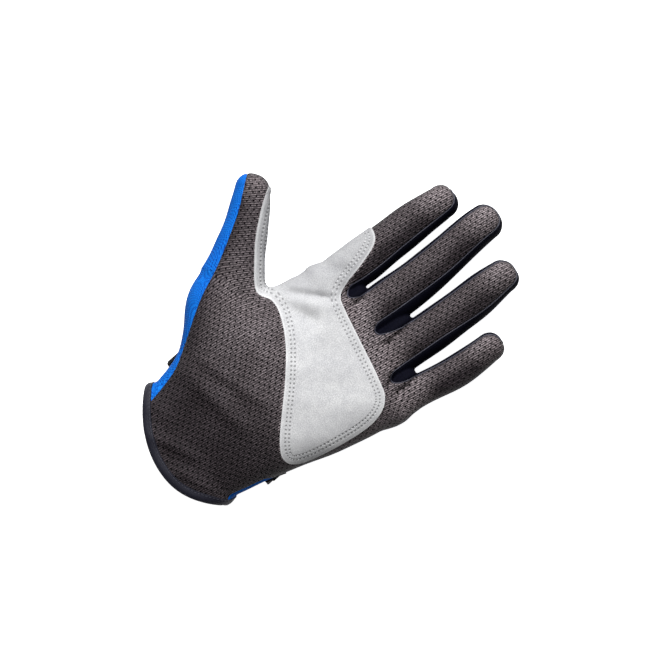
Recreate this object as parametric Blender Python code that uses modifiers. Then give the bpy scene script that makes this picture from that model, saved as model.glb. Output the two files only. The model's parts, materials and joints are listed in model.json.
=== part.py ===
"""Left-hand full-finger sailing glove, laid on its back with the palm up.

Frame: +X towards the little finger, +Y towards the fingertips, +Z out of the palm, Z 0 the table.
Every sewn panel is a thin shell of its own. A finger is a tube of panels cut across at its joints,
so that each phalanx can turn about a fold line on the palm side.
"""

import math

import bmesh
import bpy
from mathutils import Vector
from mathutils.bvhtree import BVHTree

MM = 0.001

# Driving dimensions, in millimetres.
FABRIC = 1.1            # shell fabric
SUEDE = 1.0             # reinforcement laid over the palm
GAP = 0.35              # clearance between neighbouring pieces
SEAM_GAP = 0.32         # half the gap left open at a finger's lengthwise seams
LAY = 0.5               # clearance under a piece laid over a curved panel
KNUCKLE_LINE = 28.5     # Y of the fold at the base of the first three fingers
LITTLE_LINE = 20.2      # Y of the same fold on the little finger
WEB_X = (6.9, 33.9)     # X of the webs between index, middle and ring fingers
STEP_X = (59.5, 60.2)   # X where the palm's end steps down to the little finger
BACK_CUFF = -93.6       # Y of the cuff edge on the back of the hand
TONGUE = 20.5           # how much further the palm side of the cuff reaches
TONGUE_SHIFT = 5.0      # how far the tongue's middle lies towards the little finger
BINDING_RADIUS = 1.7
BINDING_KNOTS = (22, 18)        # points of the binding on the palm side, and on the back
BINDING_ENDS = (176, 4)         # degrees round the hand at which the palm side's points start and end
HAND_ROWS = 16
HAND_COLUMNS = 18
STEP_CLEAR = 3          # degrees to the nearest column that a column at the little-finger step needs
SHIFT_FROM = 0.7        # share of the hand's length beyond which its rows follow the finger folds
DIGIT_ROW = 9           # length of a row of a digit's panel
DIGIT_COLUMN = 21       # degrees round a digit that a column takes
EDGE_INSET = 1.7        # how far the suede stays inside the hand's outline
EDGE_BAND = 110         # degrees beyond which columns give way to the thumb's opening
STRAP_Z = 0.2           # underside of the wrist strap above the table
STRAP_THICK = 1.1
STRAP_WIDTH = 17.0
STRAP_LENGTH = 78.0
STRAP_HINGE = (62.4, -64.6, 1.75)
STRAP_TURN = 5.6        # degrees that the strap slants across the wrist
STRAP_START = 0.6       # from the hinge to the strap's near end
HOOK_SIZE = (24, STRAP_WIDTH - 4, 0.6)
HOOK_START = STRAP_LENGTH - 26
HOOK_CLEAR = 0.3        # between the strap and its hook patch
TAB_SIZE = (9, STRAP_WIDTH - 5, 1.8)
TAB_START = STRAP_LENGTH + 0.95
LOOP_THICK = 0.9        # loop patch and strap anchor
LOOP_PATCH = (-74.0, 12.0, 214, 272, 12)        # middle Y, width, angles it spans, columns
STRAP_ANCHOR = (-64.6, 9.0, 338, 356, 5)
WEB_HALF = (3.0, 1.0)   # half width and depth of the turned web between two fingers
WEB_Z = (2.6, 13.2)     # its underside, and its height
WEB_ARC = (200, 140)    # degrees at which its turn starts, and through which it goes
WEB_THICK = 0.9

PALM_POWER = 2.6        # roundness of the hand's upper half: 2 is an ellipse
BACK_POWER = 4.0        # the lower half is boxier, because it lies on the table
FINGER_POWER = 2.5
TIP_POWER = 2.2
TIP_ROWS = (26, 48, 66, 80)     # degrees round the tip at which its rows lie
GUSSET_SHORT = 1                # rows by which a gusset stops before the tip closes

# Outlines as (Y, X) and heights as (Y, Z), cuff to knuckles.
HAND_LEFT = ((-97, -18.7), (-88, -18.8), (-80, -20.8), (-70, -24.5), (-64, -28.5), (-55, -38.5),
             (-46, -49.3), (-39, -52.6), (-32, -54.6), (-21, -40), (-10, -25.8), (0, -21.2),
             (12, -19.8), (28, -18.6))
HAND_RIGHT = ((-97, 55), (-88, 56.3), (-80, 57.8), (-70, 60.3), (-57, 63.8), (-45, 67.5),
              (-30, 71), (-18, 74), (0, 76), (20, 78.3), (28, 78.6))
HAND_TOP = ((-97, 31), (-80, 30), (-62, 32), (-42, 34), (-20, 31.5), (5, 27), (28, 20))
HAND_SEAM = ((-97, 16.5), (-70, 15.5), (-40, 14), (0, 12), (28, 9.6))
HAND_FLOOR = ((-97, 3.7), (-62, 3.7), (-50, 0), (28, 0))
# Where the upper and lower shells stop at the radial side: wide open at the root of the thumb.
RADIAL_EDGE = ((-97, 0), (-60, 0), (-53, 1), (-34, 31), (-18, 31), (-8, 11), (0, 1), (8, 0), (28, 0))
SIDE_SEAM = (1.2, 0.4)  # degrees that the upper and the lower shell stop short of the side seam
# The reinforcement's two long edges, from the thumb web to the heel, as (share of its length, X, Y).
PATCH_HEEL_EDGE = ((0, -22.0, -8.0), (0.15, -8, -11.5), (0.3, 6, -18.5), (0.5, 24, -33), (0.7, 43, -49.5),
                   (0.85, 55, -55.5), (0.95, 62.5, -52), (1, 64.8, -45))
PATCH_FINGER_EDGE = ((0, -17.4, 27.5), (0.12, -4, 25.5), (0.25, 8, 19.2), (0.5, 29, 15.2), (0.75, 48, 11.5),
                     (0.88, 59, 9.5), (0.96, 65.5, 5), (1, 67.6, -2))
PATCH_GRID = (24, 12)
# On the index finger it spans the angles from INDEX_PATCH_EDGE, as (Y, degrees), to INDEX_PATCH_SIDE.
INDEX_PATCH_EDGE = ((28, 72), (38, 84), (48, 98), (55.5, 118))
INDEX_PATCH_SIDE = 186
INDEX_PATCH_END = 55.5
INDEX_PATCH_GRID = (6, 6)


class Digit:
    """A finger or thumb: its outline is measured along and across its own direction."""

    def __init__(self, name, root, heading, tip, tip_round, left, right, middle, half, folds, seams):
        self.name = name
        self.root = Vector((root[0], root[1], 0))
        turn = math.radians(heading)
        self.along = Vector((-math.sin(turn), math.cos(turn), 0))
        self.across = Vector((math.cos(turn), math.sin(turn), 0))
        self.tip = tip
        self.tip_round = tip_round
        self.left = left
        self.right = right
        self.middle = middle
        self.half = half
        self.folds = folds
        self.seams = seams


# seams: angles round the section, 0 towards +X and 90 out of the palm, as panel: (from, to).
BETWEEN = {"palm_panel": (46, 165), "back_panel": (213, 325), "outer_gusset": (165, 213),
           "inner_gusset": (-35, 46)}
DIGITS = (
    Digit("index", (0, 0), 0, 105.5, 9.0,
          ((28, -18.5), (50, -18.3), (80, -18), (97, -16.2)),
          ((28, 5.2), (40, 6.3), (50, 6.1), (60, 5.1), (70, 4.3), (80, 4), (97, 2.6)),
          ((28, 9.8), (66, 9.8), (105, 12.5)), ((28, 9.4), (66, 8.9), (105, 7.8)),
          (KNUCKLE_LINE, 66.0),
          {"palm_panel": (46, 198), "back_panel": (198, 325), "inner_gusset": (-35, 46)}),
    Digit("middle", (0, 0), 0, 118.4, 9.5,
          ((28, 8.4), (40, 7.9), (60, 8.3), (80, 7.8), (90, 6.6), (108, 6.2)),
          ((28, 32.4), (40, 33.2), (50, 33), (60, 32.8), (70, 31.8), (80, 30.2), (108, 26.6)),
          ((28, 9.9), (71, 9.9), (118, 13)), ((28, 9.6), (71, 9.1), (118, 8)),
          (KNUCKLE_LINE, 71.0), BETWEEN),
    Digit("ring", (0, 0), 0, 108.3, 9.2,
          ((28, 35.2), (40, 35.4), (60, 36), (90, 36), (99, 36.6)),
          ((28, 58.8), (50, 59.3), (70, 59), (90, 57.4), (99, 55.8)),
          ((28, 9.8), (67, 9.8), (108, 12.5)), ((28, 9.4), (67, 8.9), (108, 7.8)),
          (KNUCKLE_LINE, 67.0), BETWEEN),
    Digit("little", (0, 0), 0, 79.2, 7.6,
          ((20, 60.9), (30, 61.6), (40, 63.3), (50, 64.8), (72, 65.4)),
          ((20, 78.5), (30, 80), (40, 81.7), (52, 83.4), (60, 83), (72, 81.7)),
          ((20, 9), (50, 9), (79, 11)), ((20, 8.6), (50, 8), (79, 7)),
          (LITTLE_LINE, 50.0),
          {"palm_panel": (-15, 165), "back_panel": (213, 345), "outer_gusset": (165, 213)}),
    Digit("thumb", (-40.3, -22.3), 38.3, 59.9, 9.5,
          ((0, -18), (6, -16), (14, -14.5), (23, -13.4), (33, -12.4), (50, -12)),
          ((0, 18.4), (6, 16.8), (14, 14.3), (23, 12.9), (33, 11.5), (41, 9.8), (50, 7.6)),
          ((0, 14.5), (30, 12.8), (58, 12.5)), ((0, 12.4), (30, 10.8), (58, 9)),
          (1.2, 30.0),
          {"palm_panel": (55, 124), "back_panel": (124, 318), "suede_strip": (-42, 55)}),
)

COLOURS = {
    "palm_mesh": ((0.055, 0.048, 0.047), 0.75),
    "blue_knit": ((0.005, 0.18, 0.75), 0.8),
    "gusset_fabric": ((0.012, 0.012, 0.022), 0.6),
    "suede": ((0.66, 0.67, 0.67), 0.9),
    "binding": ((0.02, 0.02, 0.035), 0.7),
    "hook_and_loop": ((0.015, 0.015, 0.017), 0.85),
    "tab_rubber": ((0.02, 0.02, 0.022), 0.55),
}


def clear_scene():
    for thing in list(bpy.data.objects):
        bpy.data.objects.remove(thing)


def collection_named(name):
    made = bpy.data.collections.new(name)
    bpy.context.scene.collection.children.link(made)
    return made


def material_named(name):
    if name in bpy.data.materials:
        return bpy.data.materials[name]
    colour, roughness = COLOURS[name]
    made = bpy.data.materials.new(name)
    made.use_nodes = True
    shader = made.node_tree.nodes["Principled BSDF"]
    shader.inputs["Base Color"].default_value = (*colour, 1)
    shader.inputs["Roughness"].default_value = roughness
    shader.inputs["Metallic"].default_value = 0
    return made


def smooth(keys, at):
    """The value at a position of the smooth curve through (position, value) keys."""
    if at <= keys[0][0]:
        return keys[0][1]
    if at >= keys[-1][0]:
        return keys[-1][1]
    i = max(k for k in range(len(keys) - 1) if keys[k][0] <= at)
    span = keys[i + 1][0] - keys[i][0]

    def slope(j):
        before = keys[max(j - 1, 0)]
        after = keys[min(j + 1, len(keys) - 1)]
        return (after[1] - before[1]) / (after[0] - before[0]) * span

    t = (at - keys[i][0]) / span
    start, end = keys[i][1], keys[i + 1][1]
    return (
        (2 * t**3 - 3 * t**2 + 1) * start
        + (t**3 - 2 * t**2 + t) * slope(i)
        + (3 * t**2 - 2 * t**3) * end
        + (t**3 - t**2) * slope(i + 1)
    )


def superellipse(angle, half_width, half_height, power):
    c = math.cos(math.radians(angle))
    s = math.sin(math.radians(angle))
    wide = half_width * math.copysign(abs(c) ** (2 / power), c)
    high = half_height * math.copysign(abs(s) ** (2 / power), s)
    return wide, high


def hand_section(y):
    left, right = smooth(HAND_LEFT, y), smooth(HAND_RIGHT, y)
    return (left + right) / 2, (right - left) / 2


def hand_point(y, angle):
    """A point of the hand's outer surface: angle 0 at the little-finger side, 90 on the palm."""
    centre, half = hand_section(y)
    seam = smooth(HAND_SEAM, y)
    floor = max(smooth(HAND_FLOOR, y), 0.0)
    if angle <= 180:
        wide, high = superellipse(angle, half, smooth(HAND_TOP, y) - seam, PALM_POWER)
        return Vector((centre + wide, y, seam + high))
    wide, high = superellipse(angle, half, seam - floor + 1.0, BACK_POWER)
    return Vector((centre + wide, y, max(seam + high, floor)))


def hand_angle(y, x, power):
    """The angle, in the upper half, at which the section reaches x."""
    centre, half = hand_section(y)
    share = (x - centre) / half
    return math.degrees(math.acos(math.copysign(abs(share) ** (power / 2), share)))


def cuff_bow(x):
    """How far the palm side's cuff edge hangs below the back's: a round tongue."""
    left, right = smooth(HAND_LEFT, BACK_CUFF), smooth(HAND_RIGHT, BACK_CUFF)
    share = (x - (left + right) / 2 - TONGUE_SHIFT) / ((right - left) / 2 + TONGUE_SHIFT)
    return -TONGUE * (1 - min(abs(share), 1.0) ** 2)


def knuckle_edge(x):
    """Y at which the hand's panels stop, short of the fold lines."""
    return (KNUCKLE_LINE if x <= (STEP_X[0] + STEP_X[1]) / 2 else LITTLE_LINE) - GAP


def digit_section(digit, s):
    """The middle, half width and half height of a digit, s along it, its end rounded off."""
    left, right = smooth(digit.left, s), smooth(digit.right, s)
    beyond = max(0.0, s - digit.tip + digit.tip_round) / digit.tip_round
    close = (1 - min(beyond, 1.0) ** TIP_POWER) ** (1 / TIP_POWER)
    return (left + right) / 2, (right - left) / 2 * close, smooth(digit.half, s) * close


def digit_point(digit, s, angle):
    """A point of a digit's outer surface: angle 0 is towards +X, and 90 out of the palm."""
    middle, half_width, half_height = digit_section(digit, s)
    wide, high = superellipse(angle, half_width, half_height, FINGER_POWER)
    place = digit.root + digit.along * s + digit.across * (middle + wide)
    return Vector((place.x, place.y, smooth(digit.middle, s) + high))


def seam_margin(digit, s):
    """Half the angle that a lengthwise seam leaves open, wider where the finger closes."""
    _, half_width, half_height = digit_section(digit, s)
    inner = max(min(half_width, half_height) - FABRIC, FABRIC / 2)
    return math.degrees(SEAM_GAP / inner)


def digit_rows(digit, start, end):
    """Stations along a digit, evenly spaced, then closer round the tip."""
    straight = min(end, digit.tip - digit.tip_round)
    steps = max(2, round((straight - start) / DIGIT_ROW))
    rows = [start + (straight - start) * i / steps for i in range(steps + 1)]
    if end > straight:
        rows += [straight + digit.tip_round * math.sin(math.radians(a)) for a in TIP_ROWS]
    return rows


class Builder:
    """Puts finished pieces in the glove's collection, parented to one empty."""

    def __init__(self):
        self.glove = collection_named("sailing_glove")
        self.root = bpy.data.objects.new("glove_root", None)
        self.glove.objects.link(self.root)

    def add(self, name, mesh, material):
        thing = bpy.data.objects.new(name, mesh)
        thing.parent = self.root
        self.glove.objects.link(thing)
        mesh.materials.append(material_named(material))
        mesh.shade_smooth()
        return thing

    def shell(self, name, material, columns, rows, place, thickness):
        """A grid of columns by rows laid on a surface by place(column, row), thickened inwards."""
        bm = bmesh.new()
        bmesh.ops.create_grid(bm, x_segments=columns, y_segments=rows, size=0.5)
        for vertex in bm.verts:
            column = round((vertex.co.x + 0.5) * columns)
            row = round((vertex.co.y + 0.5) * rows)
            vertex.co = place(column, row) * MM
        mesh = bpy.data.meshes.new(name)
        bm.to_mesh(mesh)
        bm.free()
        thing = self.add(name, mesh, material)
        solidify = thing.modifiers.new("thickness", "SOLIDIFY")
        solidify.thickness = thickness * MM
        solidify.offset = -1
        return thing

    def box(self, name, material, size, centre, turn):
        """A flat piece with softened edges, centred at centre and turned about Z."""
        bm = bmesh.new()
        bmesh.ops.create_cube(bm, size=1.0)
        for vertex in bm.verts:
            vertex.co = Vector(vertex.co[i] * size[i] * MM for i in range(3))
        mesh = bpy.data.meshes.new(name)
        bm.to_mesh(mesh)
        bm.free()
        thing = self.add(name, mesh, material)
        thing.location = Vector(centre) * MM
        thing.rotation_euler = (0, 0, math.radians(turn))
        bevel = thing.modifiers.new("soft_edges", "BEVEL")
        bevel.width = min(size) * 0.25 * MM
        bevel.segments = 2


def shift_along(surface, offset, step=0.6):
    """A surface(a, b) moved out along its normal; a runs up the glove, b against the angle."""

    def moved(a, b):
        here = surface(a, b)
        up = surface(a + step, b) - surface(a - step, b)
        side = surface(a, b - step) - surface(a, b + step)
        return here + side.cross(up).normalized() * offset

    return moved


def digit_panels(build, digit):
    """The palm, back and side panels of both phalanges of one digit."""
    fold, middle_fold = digit.folds
    for part, start, end in (
        ("base", fold + GAP, middle_fold - GAP),
        ("tip", middle_fold + GAP, digit.tip),
    ):
        rows = digit_rows(digit, start, end)
        for panel, (low, high) in digit.seams.items():
            columns = max(3, round((high - low) / DIGIT_COLUMN))
            last = len(rows) - 1
            if part == "tip" and "gusset" in panel:
                last -= GUSSET_SHORT

            def place(column, row):
                margin = seam_margin(digit, rows[row])
                angle = high - margin + (low - high + 2 * margin) * column / columns
                return digit_point(digit, rows[row], angle)

            material = {"palm_panel": "palm_mesh", "back_panel": "blue_knit",
                        "suede_strip": "suede"}.get(panel, "gusset_fabric")
            build.shell(f"{digit.name}_{part}_{panel}", material, columns, last, place, FABRIC)


def hand_columns(upper, y):
    """Angles of the hand's columns of vertices, from the radial side round to the ulnar side."""
    margin = SIDE_SEAM[0] if upper else SIDE_SEAM[1]
    steps = [hand_angle(y, x, PALM_POWER if upper else BACK_POWER) for x in STEP_X]
    spread = [180 - margin - (180 - 2 * margin) * i / HAND_COLUMNS for i in range(HAND_COLUMNS + 1)]
    kept = [a for a in spread if min(abs(a - step) for step in steps) > STEP_CLEAR]
    return sorted(kept + steps, reverse=True)


def hand_shell(build, name, material, upper):
    """The palm or the back of the hand, from the cuff to the finger folds."""
    end = KNUCKLE_LINE - GAP
    columns = hand_columns(upper, end)

    def place(column, row):
        along = row / HAND_ROWS
        y = BACK_CUFF + (end - BACK_CUFF) * along
        # The columns next to the radial edge are squeezed back where the thumb opens it.
        opening = max(smooth(RADIAL_EDGE, y), 0.0)
        angle = columns[column]
        squeezed = (angle - EDGE_BAND) / (columns[0] - EDGE_BAND)
        if squeezed > 0:
            angle -= opening * squeezed
        point = hand_point(y, angle if upper else 360 - angle)
        if upper:
            point.y += cuff_bow(point.x) * (1 - along) ** 2
        point.y += (knuckle_edge(point.x) - end) * max(0.0, (along - SHIFT_FROM) / (1 - SHIFT_FROM))
        return point

    last = len(columns) - 1
    if upper:
        return build.shell(name, material, last, HAND_ROWS, place, FABRIC)
    return build.shell(name, material, last, HAND_ROWS, lambda c, r: place(last - c, r), FABRIC)


def surface_tree(thing):
    graph = bpy.context.evaluated_depsgraph_get()
    return BVHTree.FromObject(thing, graph)


def suede_patch(build, palm):
    """The reinforcement across the palm, from the thumb web to the heel of the hand."""
    tree = surface_tree(palm)
    columns, rows = PATCH_GRID

    def edge(keys, t):
        return Vector((smooth([(k[0], k[1]) for k in keys], t),
                       smooth([(k[0], k[2]) for k in keys], t)))

    def place(column, row):
        heel = edge(PATCH_HEEL_EDGE, column / columns)
        flat = heel.lerp(edge(PATCH_FINGER_EDGE, column / columns), row / rows)
        flat.x = max(flat.x, smooth(HAND_LEFT, flat.y) + EDGE_INSET)
        hit, normal, _, _ = tree.ray_cast(Vector((flat.x * MM, flat.y * MM, 1.0)), Vector((0, 0, -1)))
        return hit / MM + normal * (LAY + SUEDE)

    build.shell("palm_suede_patch", "suede", columns, rows, place, SUEDE)


def index_suede_patch(build, index):
    """The same reinforcement carried up the radial side of the index finger."""
    columns, rows = INDEX_PATCH_GRID
    surface = shift_along(lambda s, a: digit_point(index, s, a), LAY + SUEDE)
    start = index.folds[0] + GAP

    def place(column, row):
        s = start + (INDEX_PATCH_END - start) * row / rows
        low = smooth(INDEX_PATCH_EDGE, s)
        return surface(s, INDEX_PATCH_SIDE + (low - INDEX_PATCH_SIDE) * column / columns)

    build.shell("index_suede_patch", "suede", columns, rows, place, SUEDE)


def web_pieces(build):
    """The turn of each fourchette at the root between two fingers."""
    columns, rows = 4, 3
    wide, deep = WEB_HALF
    for name, x in zip(("index_middle_web", "middle_ring_web"), WEB_X):

        def place(column, row, x=x):
            turn = math.radians(WEB_ARC[0] + WEB_ARC[1] * column / columns)
            y = KNUCKLE_LINE - GAP + deep * math.sin(turn)
            return Vector((x + wide * math.cos(turn), y, WEB_Z[0] + WEB_Z[1] * row / rows))

        build.shell(name, "gusset_fabric", columns, rows, place, WEB_THICK)


def cuff_binding(build):
    """The tape round the cuff: a closed loop beyond the edges of the palm and back panels."""
    edge = []
    start, end = BINDING_ENDS
    above, below = BINDING_KNOTS
    for i in range(above):
        point = hand_point(BACK_CUFF, start + (end - start) * i / (above - 1))
        edge.append(point + Vector((0, cuff_bow(point.x), 0)))
    edge += [hand_point(BACK_CUFF, 180 + start + (end - start) * i / (below - 1)) for i in range(below)]
    middle = sum(edge, Vector()) / len(edge)
    points = []
    for i, point in enumerate(edge):
        tangent = edge[(i + 1) % len(edge)] - edge[i - 1]
        outward = Vector((point.x - middle.x, 0, point.z - middle.z))
        beyond = tangent.cross(outward).normalized()
        beyond *= math.copysign(GAP + BINDING_RADIUS + FABRIC / 2, -beyond.y)
        points.append(point + beyond - outward.normalized() * FABRIC / 2)
    curve = bpy.data.curves.new("cuff_binding", "CURVE")
    curve.dimensions = "3D"
    curve.bevel_depth = BINDING_RADIUS * MM
    curve.bevel_resolution = 2
    spline = curve.splines.new("POLY")
    spline.points.add(len(points) - 1)
    for knot, point in zip(spline.points, points):
        knot.co = (*(point * MM), 1)
    spline.use_cyclic_u = True
    thing = bpy.data.objects.new("cuff_binding", curve)
    thing.parent = build.root
    build.glove.objects.link(thing)
    curve.materials.append(material_named("binding"))


def wrist_closure(build):
    """A strap across the back of the wrist, sewn at the little-finger side, hook to loop at the other."""
    surface = shift_along(lambda y, a: hand_point(y, a), LAY / 2 + LOOP_THICK)

    def pad(name, middle, width, low, high, columns):
        def place(column, row):
            return surface(middle - width / 2 + width * row / 3, high + (low - high) * column / columns)

        build.shell(name, "hook_and_loop", columns, 3, place, LOOP_THICK)

    pad("wrist_loop_patch", *LOOP_PATCH)
    pad("strap_anchor", *STRAP_ANCHOR)

    turn = math.radians(STRAP_TURN)
    direction = Vector((-math.cos(turn), -math.sin(turn), 0))
    hinge = Vector((STRAP_HINGE[0], STRAP_HINGE[1], 0))

    def flat(name, material, start, size, low):
        centre = hinge + direction * (start + size[0] / 2)
        centre.z = low + size[2] / 2
        build.box(name, material, size, centre, STRAP_TURN)

    flat("wrist_strap", "hook_and_loop", STRAP_START, (STRAP_LENGTH, STRAP_WIDTH, STRAP_THICK), STRAP_Z)
    flat("hook_patch", "hook_and_loop", HOOK_START, HOOK_SIZE, STRAP_Z + STRAP_THICK + HOOK_CLEAR)
    flat("pull_tab", "tab_rubber", TAB_START, TAB_SIZE, STRAP_Z)


def main():
    clear_scene()
    build = Builder()
    palm = hand_shell(build, "palm_panel", "palm_mesh", True)
    hand_shell(build, "back_panel", "blue_knit", False)
    suede_patch(build, palm)
    for digit in DIGITS:
        digit_panels(build, digit)
    index_suede_patch(build, DIGITS[0])
    web_pieces(build)
    cuff_binding(build)
    wrist_closure(build)


main()
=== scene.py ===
import json
import math

import bpy
import numpy as np
from mathutils import Matrix, Vector


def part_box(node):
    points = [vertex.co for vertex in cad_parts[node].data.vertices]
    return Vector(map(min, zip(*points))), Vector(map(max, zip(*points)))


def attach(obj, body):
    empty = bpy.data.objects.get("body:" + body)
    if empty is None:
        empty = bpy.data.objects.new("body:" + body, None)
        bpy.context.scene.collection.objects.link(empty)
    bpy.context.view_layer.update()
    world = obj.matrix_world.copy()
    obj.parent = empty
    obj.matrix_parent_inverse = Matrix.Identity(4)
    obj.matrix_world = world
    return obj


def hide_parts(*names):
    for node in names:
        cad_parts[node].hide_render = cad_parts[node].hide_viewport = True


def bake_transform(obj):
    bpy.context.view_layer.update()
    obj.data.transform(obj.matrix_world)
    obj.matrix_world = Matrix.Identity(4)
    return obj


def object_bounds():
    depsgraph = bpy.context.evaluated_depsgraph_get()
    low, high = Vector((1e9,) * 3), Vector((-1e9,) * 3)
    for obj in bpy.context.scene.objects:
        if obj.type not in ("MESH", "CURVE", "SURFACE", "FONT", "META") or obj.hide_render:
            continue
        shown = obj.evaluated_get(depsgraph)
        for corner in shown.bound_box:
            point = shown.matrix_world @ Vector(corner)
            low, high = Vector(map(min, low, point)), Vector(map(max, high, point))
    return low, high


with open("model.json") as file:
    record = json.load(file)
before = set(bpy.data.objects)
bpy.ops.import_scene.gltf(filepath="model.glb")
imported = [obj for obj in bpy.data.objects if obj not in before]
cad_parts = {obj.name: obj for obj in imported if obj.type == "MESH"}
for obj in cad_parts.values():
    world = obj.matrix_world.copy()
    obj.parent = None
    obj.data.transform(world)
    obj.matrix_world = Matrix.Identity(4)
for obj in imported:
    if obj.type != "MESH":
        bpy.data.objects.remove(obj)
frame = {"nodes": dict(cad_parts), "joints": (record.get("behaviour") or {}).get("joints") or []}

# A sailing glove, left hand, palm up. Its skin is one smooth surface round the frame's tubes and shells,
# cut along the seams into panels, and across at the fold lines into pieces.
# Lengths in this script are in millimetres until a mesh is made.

CAD_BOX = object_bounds()
MM = 0.001

# ---- the frame's own sizes ---------------------------------------------------------------------------

DIGITS = ("index", "middle", "ring", "little", "thumb")
JOINTS = {j["name"]: j for j in frame["joints"]}
FABRIC = 1.0
CAP = 9.0               # length of a digit's rounded tip
DIGIT_POWER = 2.1       # roundness of a digit's section: 2 is an ellipse
TIP_POWER = 2.2         # and of its tip
DIGIT_STATIONS = 15     # sections measured along a digit, and the degree of the curves through them
DIGIT_DEGREE = 4
SECTION_CLEAR = (0.5, 0.8)  # how far each stays from the root's end and the tip, and from the fold
# How far a digit's form runs on into the hand, and the length of its rounded end.
FINGER_ROOT = (12.0, 12.0)
THUMB_ROOT = (16.0, 22.0)


def unit(rows):
    """Each row, or a single vector, scaled to length 1."""
    return rows / np.maximum(np.linalg.norm(rows, axis=-1, keepdims=True), 1e-12)


def joint_at(name):
    return np.array(JOINTS[name]["pos_m"]) / MM


def low(node):
    return np.array(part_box(node)[0]) / MM


def cut_points(names, point, direction, station):
    """Where the edges of some CAD nodes cross a plane across a direction."""
    found = []
    for name in names:
        mesh = frame["nodes"][name].data
        co = np.empty(len(mesh.vertices) * 3)
        mesh.vertices.foreach_get("co", co)
        co = co.reshape(-1, 3) / MM
        ends = np.empty(len(mesh.edges) * 2, int)
        mesh.edges.foreach_get("vertices", ends)
        a, b = co[ends.reshape(-1, 2)].transpose(1, 0, 2)
        da, db = (a - point) @ direction - station, (b - point) @ direction - station
        across = da * db < 0
        share = (da / np.where(da == db, 1, da - db))[across, None]
        found.append(a[across] + (b[across] - a[across]) * share)
    return np.concatenate(found)


class Digit:
    """A finger or the thumb, measured from its CAD panels: middle and half size along its length."""

    def __init__(self, name):
        self.name = name
        thumb = name == "thumb"
        self.root = "thumb_root_joint" if thumb else f"{name}_knuckle"
        self.fold = f"{name}_middle_joint"
        x, y, _ = JOINTS[self.fold]["axis"]
        self.across = np.array((x, y, 0)) / math.hypot(x, y)
        self.along = np.array((-self.across[1], self.across[0], 0))
        self.origin = joint_at(self.root) * (1, 1, 0)
        self.folds = (0.0, (joint_at(self.fold) - self.origin) @ self.along)
        panels = [n for n in frame["nodes"] if n.startswith((f"{name}_base_", f"{name}_tip_"))]
        ends = [((np.array(v.co) / MM - self.origin) @ self.along)
                for n in panels for v in frame["nodes"][n].data.vertices]
        self.tip = max(ends)
        self.first, self.last = min(ends) + SECTION_CLEAR[0], self.tip - CAP - SECTION_CLEAR[0]
        stations = [s for s in np.linspace(self.first, self.last, DIGIT_STATIONS)
                    if abs(s - self.folds[1]) > SECTION_CLEAR[1]]
        rows = []
        for station in stations:
            cut = cut_points(panels, self.origin, self.along, station) - self.origin
            a, z = cut @ self.across, cut[:, 2]
            rows.append(((a.max() + a.min()) / 2, (a.max() - a.min()) / 2,
                         (z.max() + z.min()) / 2, (z.max() - z.min()) / 2))
        self.fits = [np.polyfit(stations, column, DIGIT_DEGREE) for column in np.array(rows).T]
        self.root_cap = THUMB_ROOT if thumb else FINGER_ROOT

    def local(self, p):
        q = p - self.origin
        return q @ self.along, q @ self.across, p[:, 2]

    def section(self, s):
        """Middle across, half width, middle height and half height at s."""
        s = np.clip(s, self.first, self.last)
        return [np.polyval(fit, s) for fit in self.fits]

    def distance(self, p):
        s, a, z = self.local(p)
        middle, wide, centre, tall = self.section(s)
        start, length = self.root_cap
        ahead = np.maximum(s - (self.tip - CAP), 0) / CAP
        behind = np.maximum(self.first - start - s, 0) / length
        cap = np.where(ahead > 0, CAP, length)
        return rounded(np.abs(a - middle) / wide, np.abs(z - centre) / tall, ahead + behind,
                       wide, tall, cap, DIGIT_POWER, TIP_POWER)


def rounded(u, v, t, wide, tall, cap, power, cap_power):
    """Distance, to first order, to a superellipse section that closes with a rounded cap."""
    u, v, t = u + 1e-4, v + 1e-4, t + 1e-6
    flat = (u**power + v**power) ** (1 / power)
    rho = (flat**cap_power + t**cap_power) ** (1 / cap_power)
    scale = rho ** (1 - cap_power) * flat ** (cap_power - power)
    slope = np.sqrt((scale * u ** (power - 1) / wide) ** 2 + (scale * v ** (power - 1) / tall) ** 2
                    + (rho ** (1 - cap_power) * t ** (cap_power - 1) / cap) ** 2)
    return (rho - 1) / np.maximum(slope, 1e-3)


def smooth_step(low_edge, high_edge, x):
    """0 before low_edge, 1 after high_edge, smooth between; the edges may run downwards."""
    t = np.clip((x - low_edge) / (high_edge - low_edge), 0, 1)
    return t * t * (3 - 2 * t)


def smooth_min(a, b, reach):
    h = np.maximum(reach - np.abs(a - b), 0) / reach
    return np.minimum(a, b) - h * h * reach / 4


PALM_POWER = 2.6        # roundness of the hand's section, above and below its side seams
BACK_POWER = 4.0
WEB_CAP = 8.5           # length of the hand's rounded end
WEB_POWER = 2.6
WEB_END = (24.0, 15.5)  # Y where the hand ends between the fingers, and beside the little finger
WEB_STEP = (50.0, 58.0)
WEB_FALL = 0.32         # how steeply the palm falls towards the fingers, and over what length
WEB_FALL_REACH = 14
HAND_STATIONS = 24      # and for the hand
HAND_DEGREE = 9
HAND_END = 15           # Y of the last section that is measured


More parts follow.
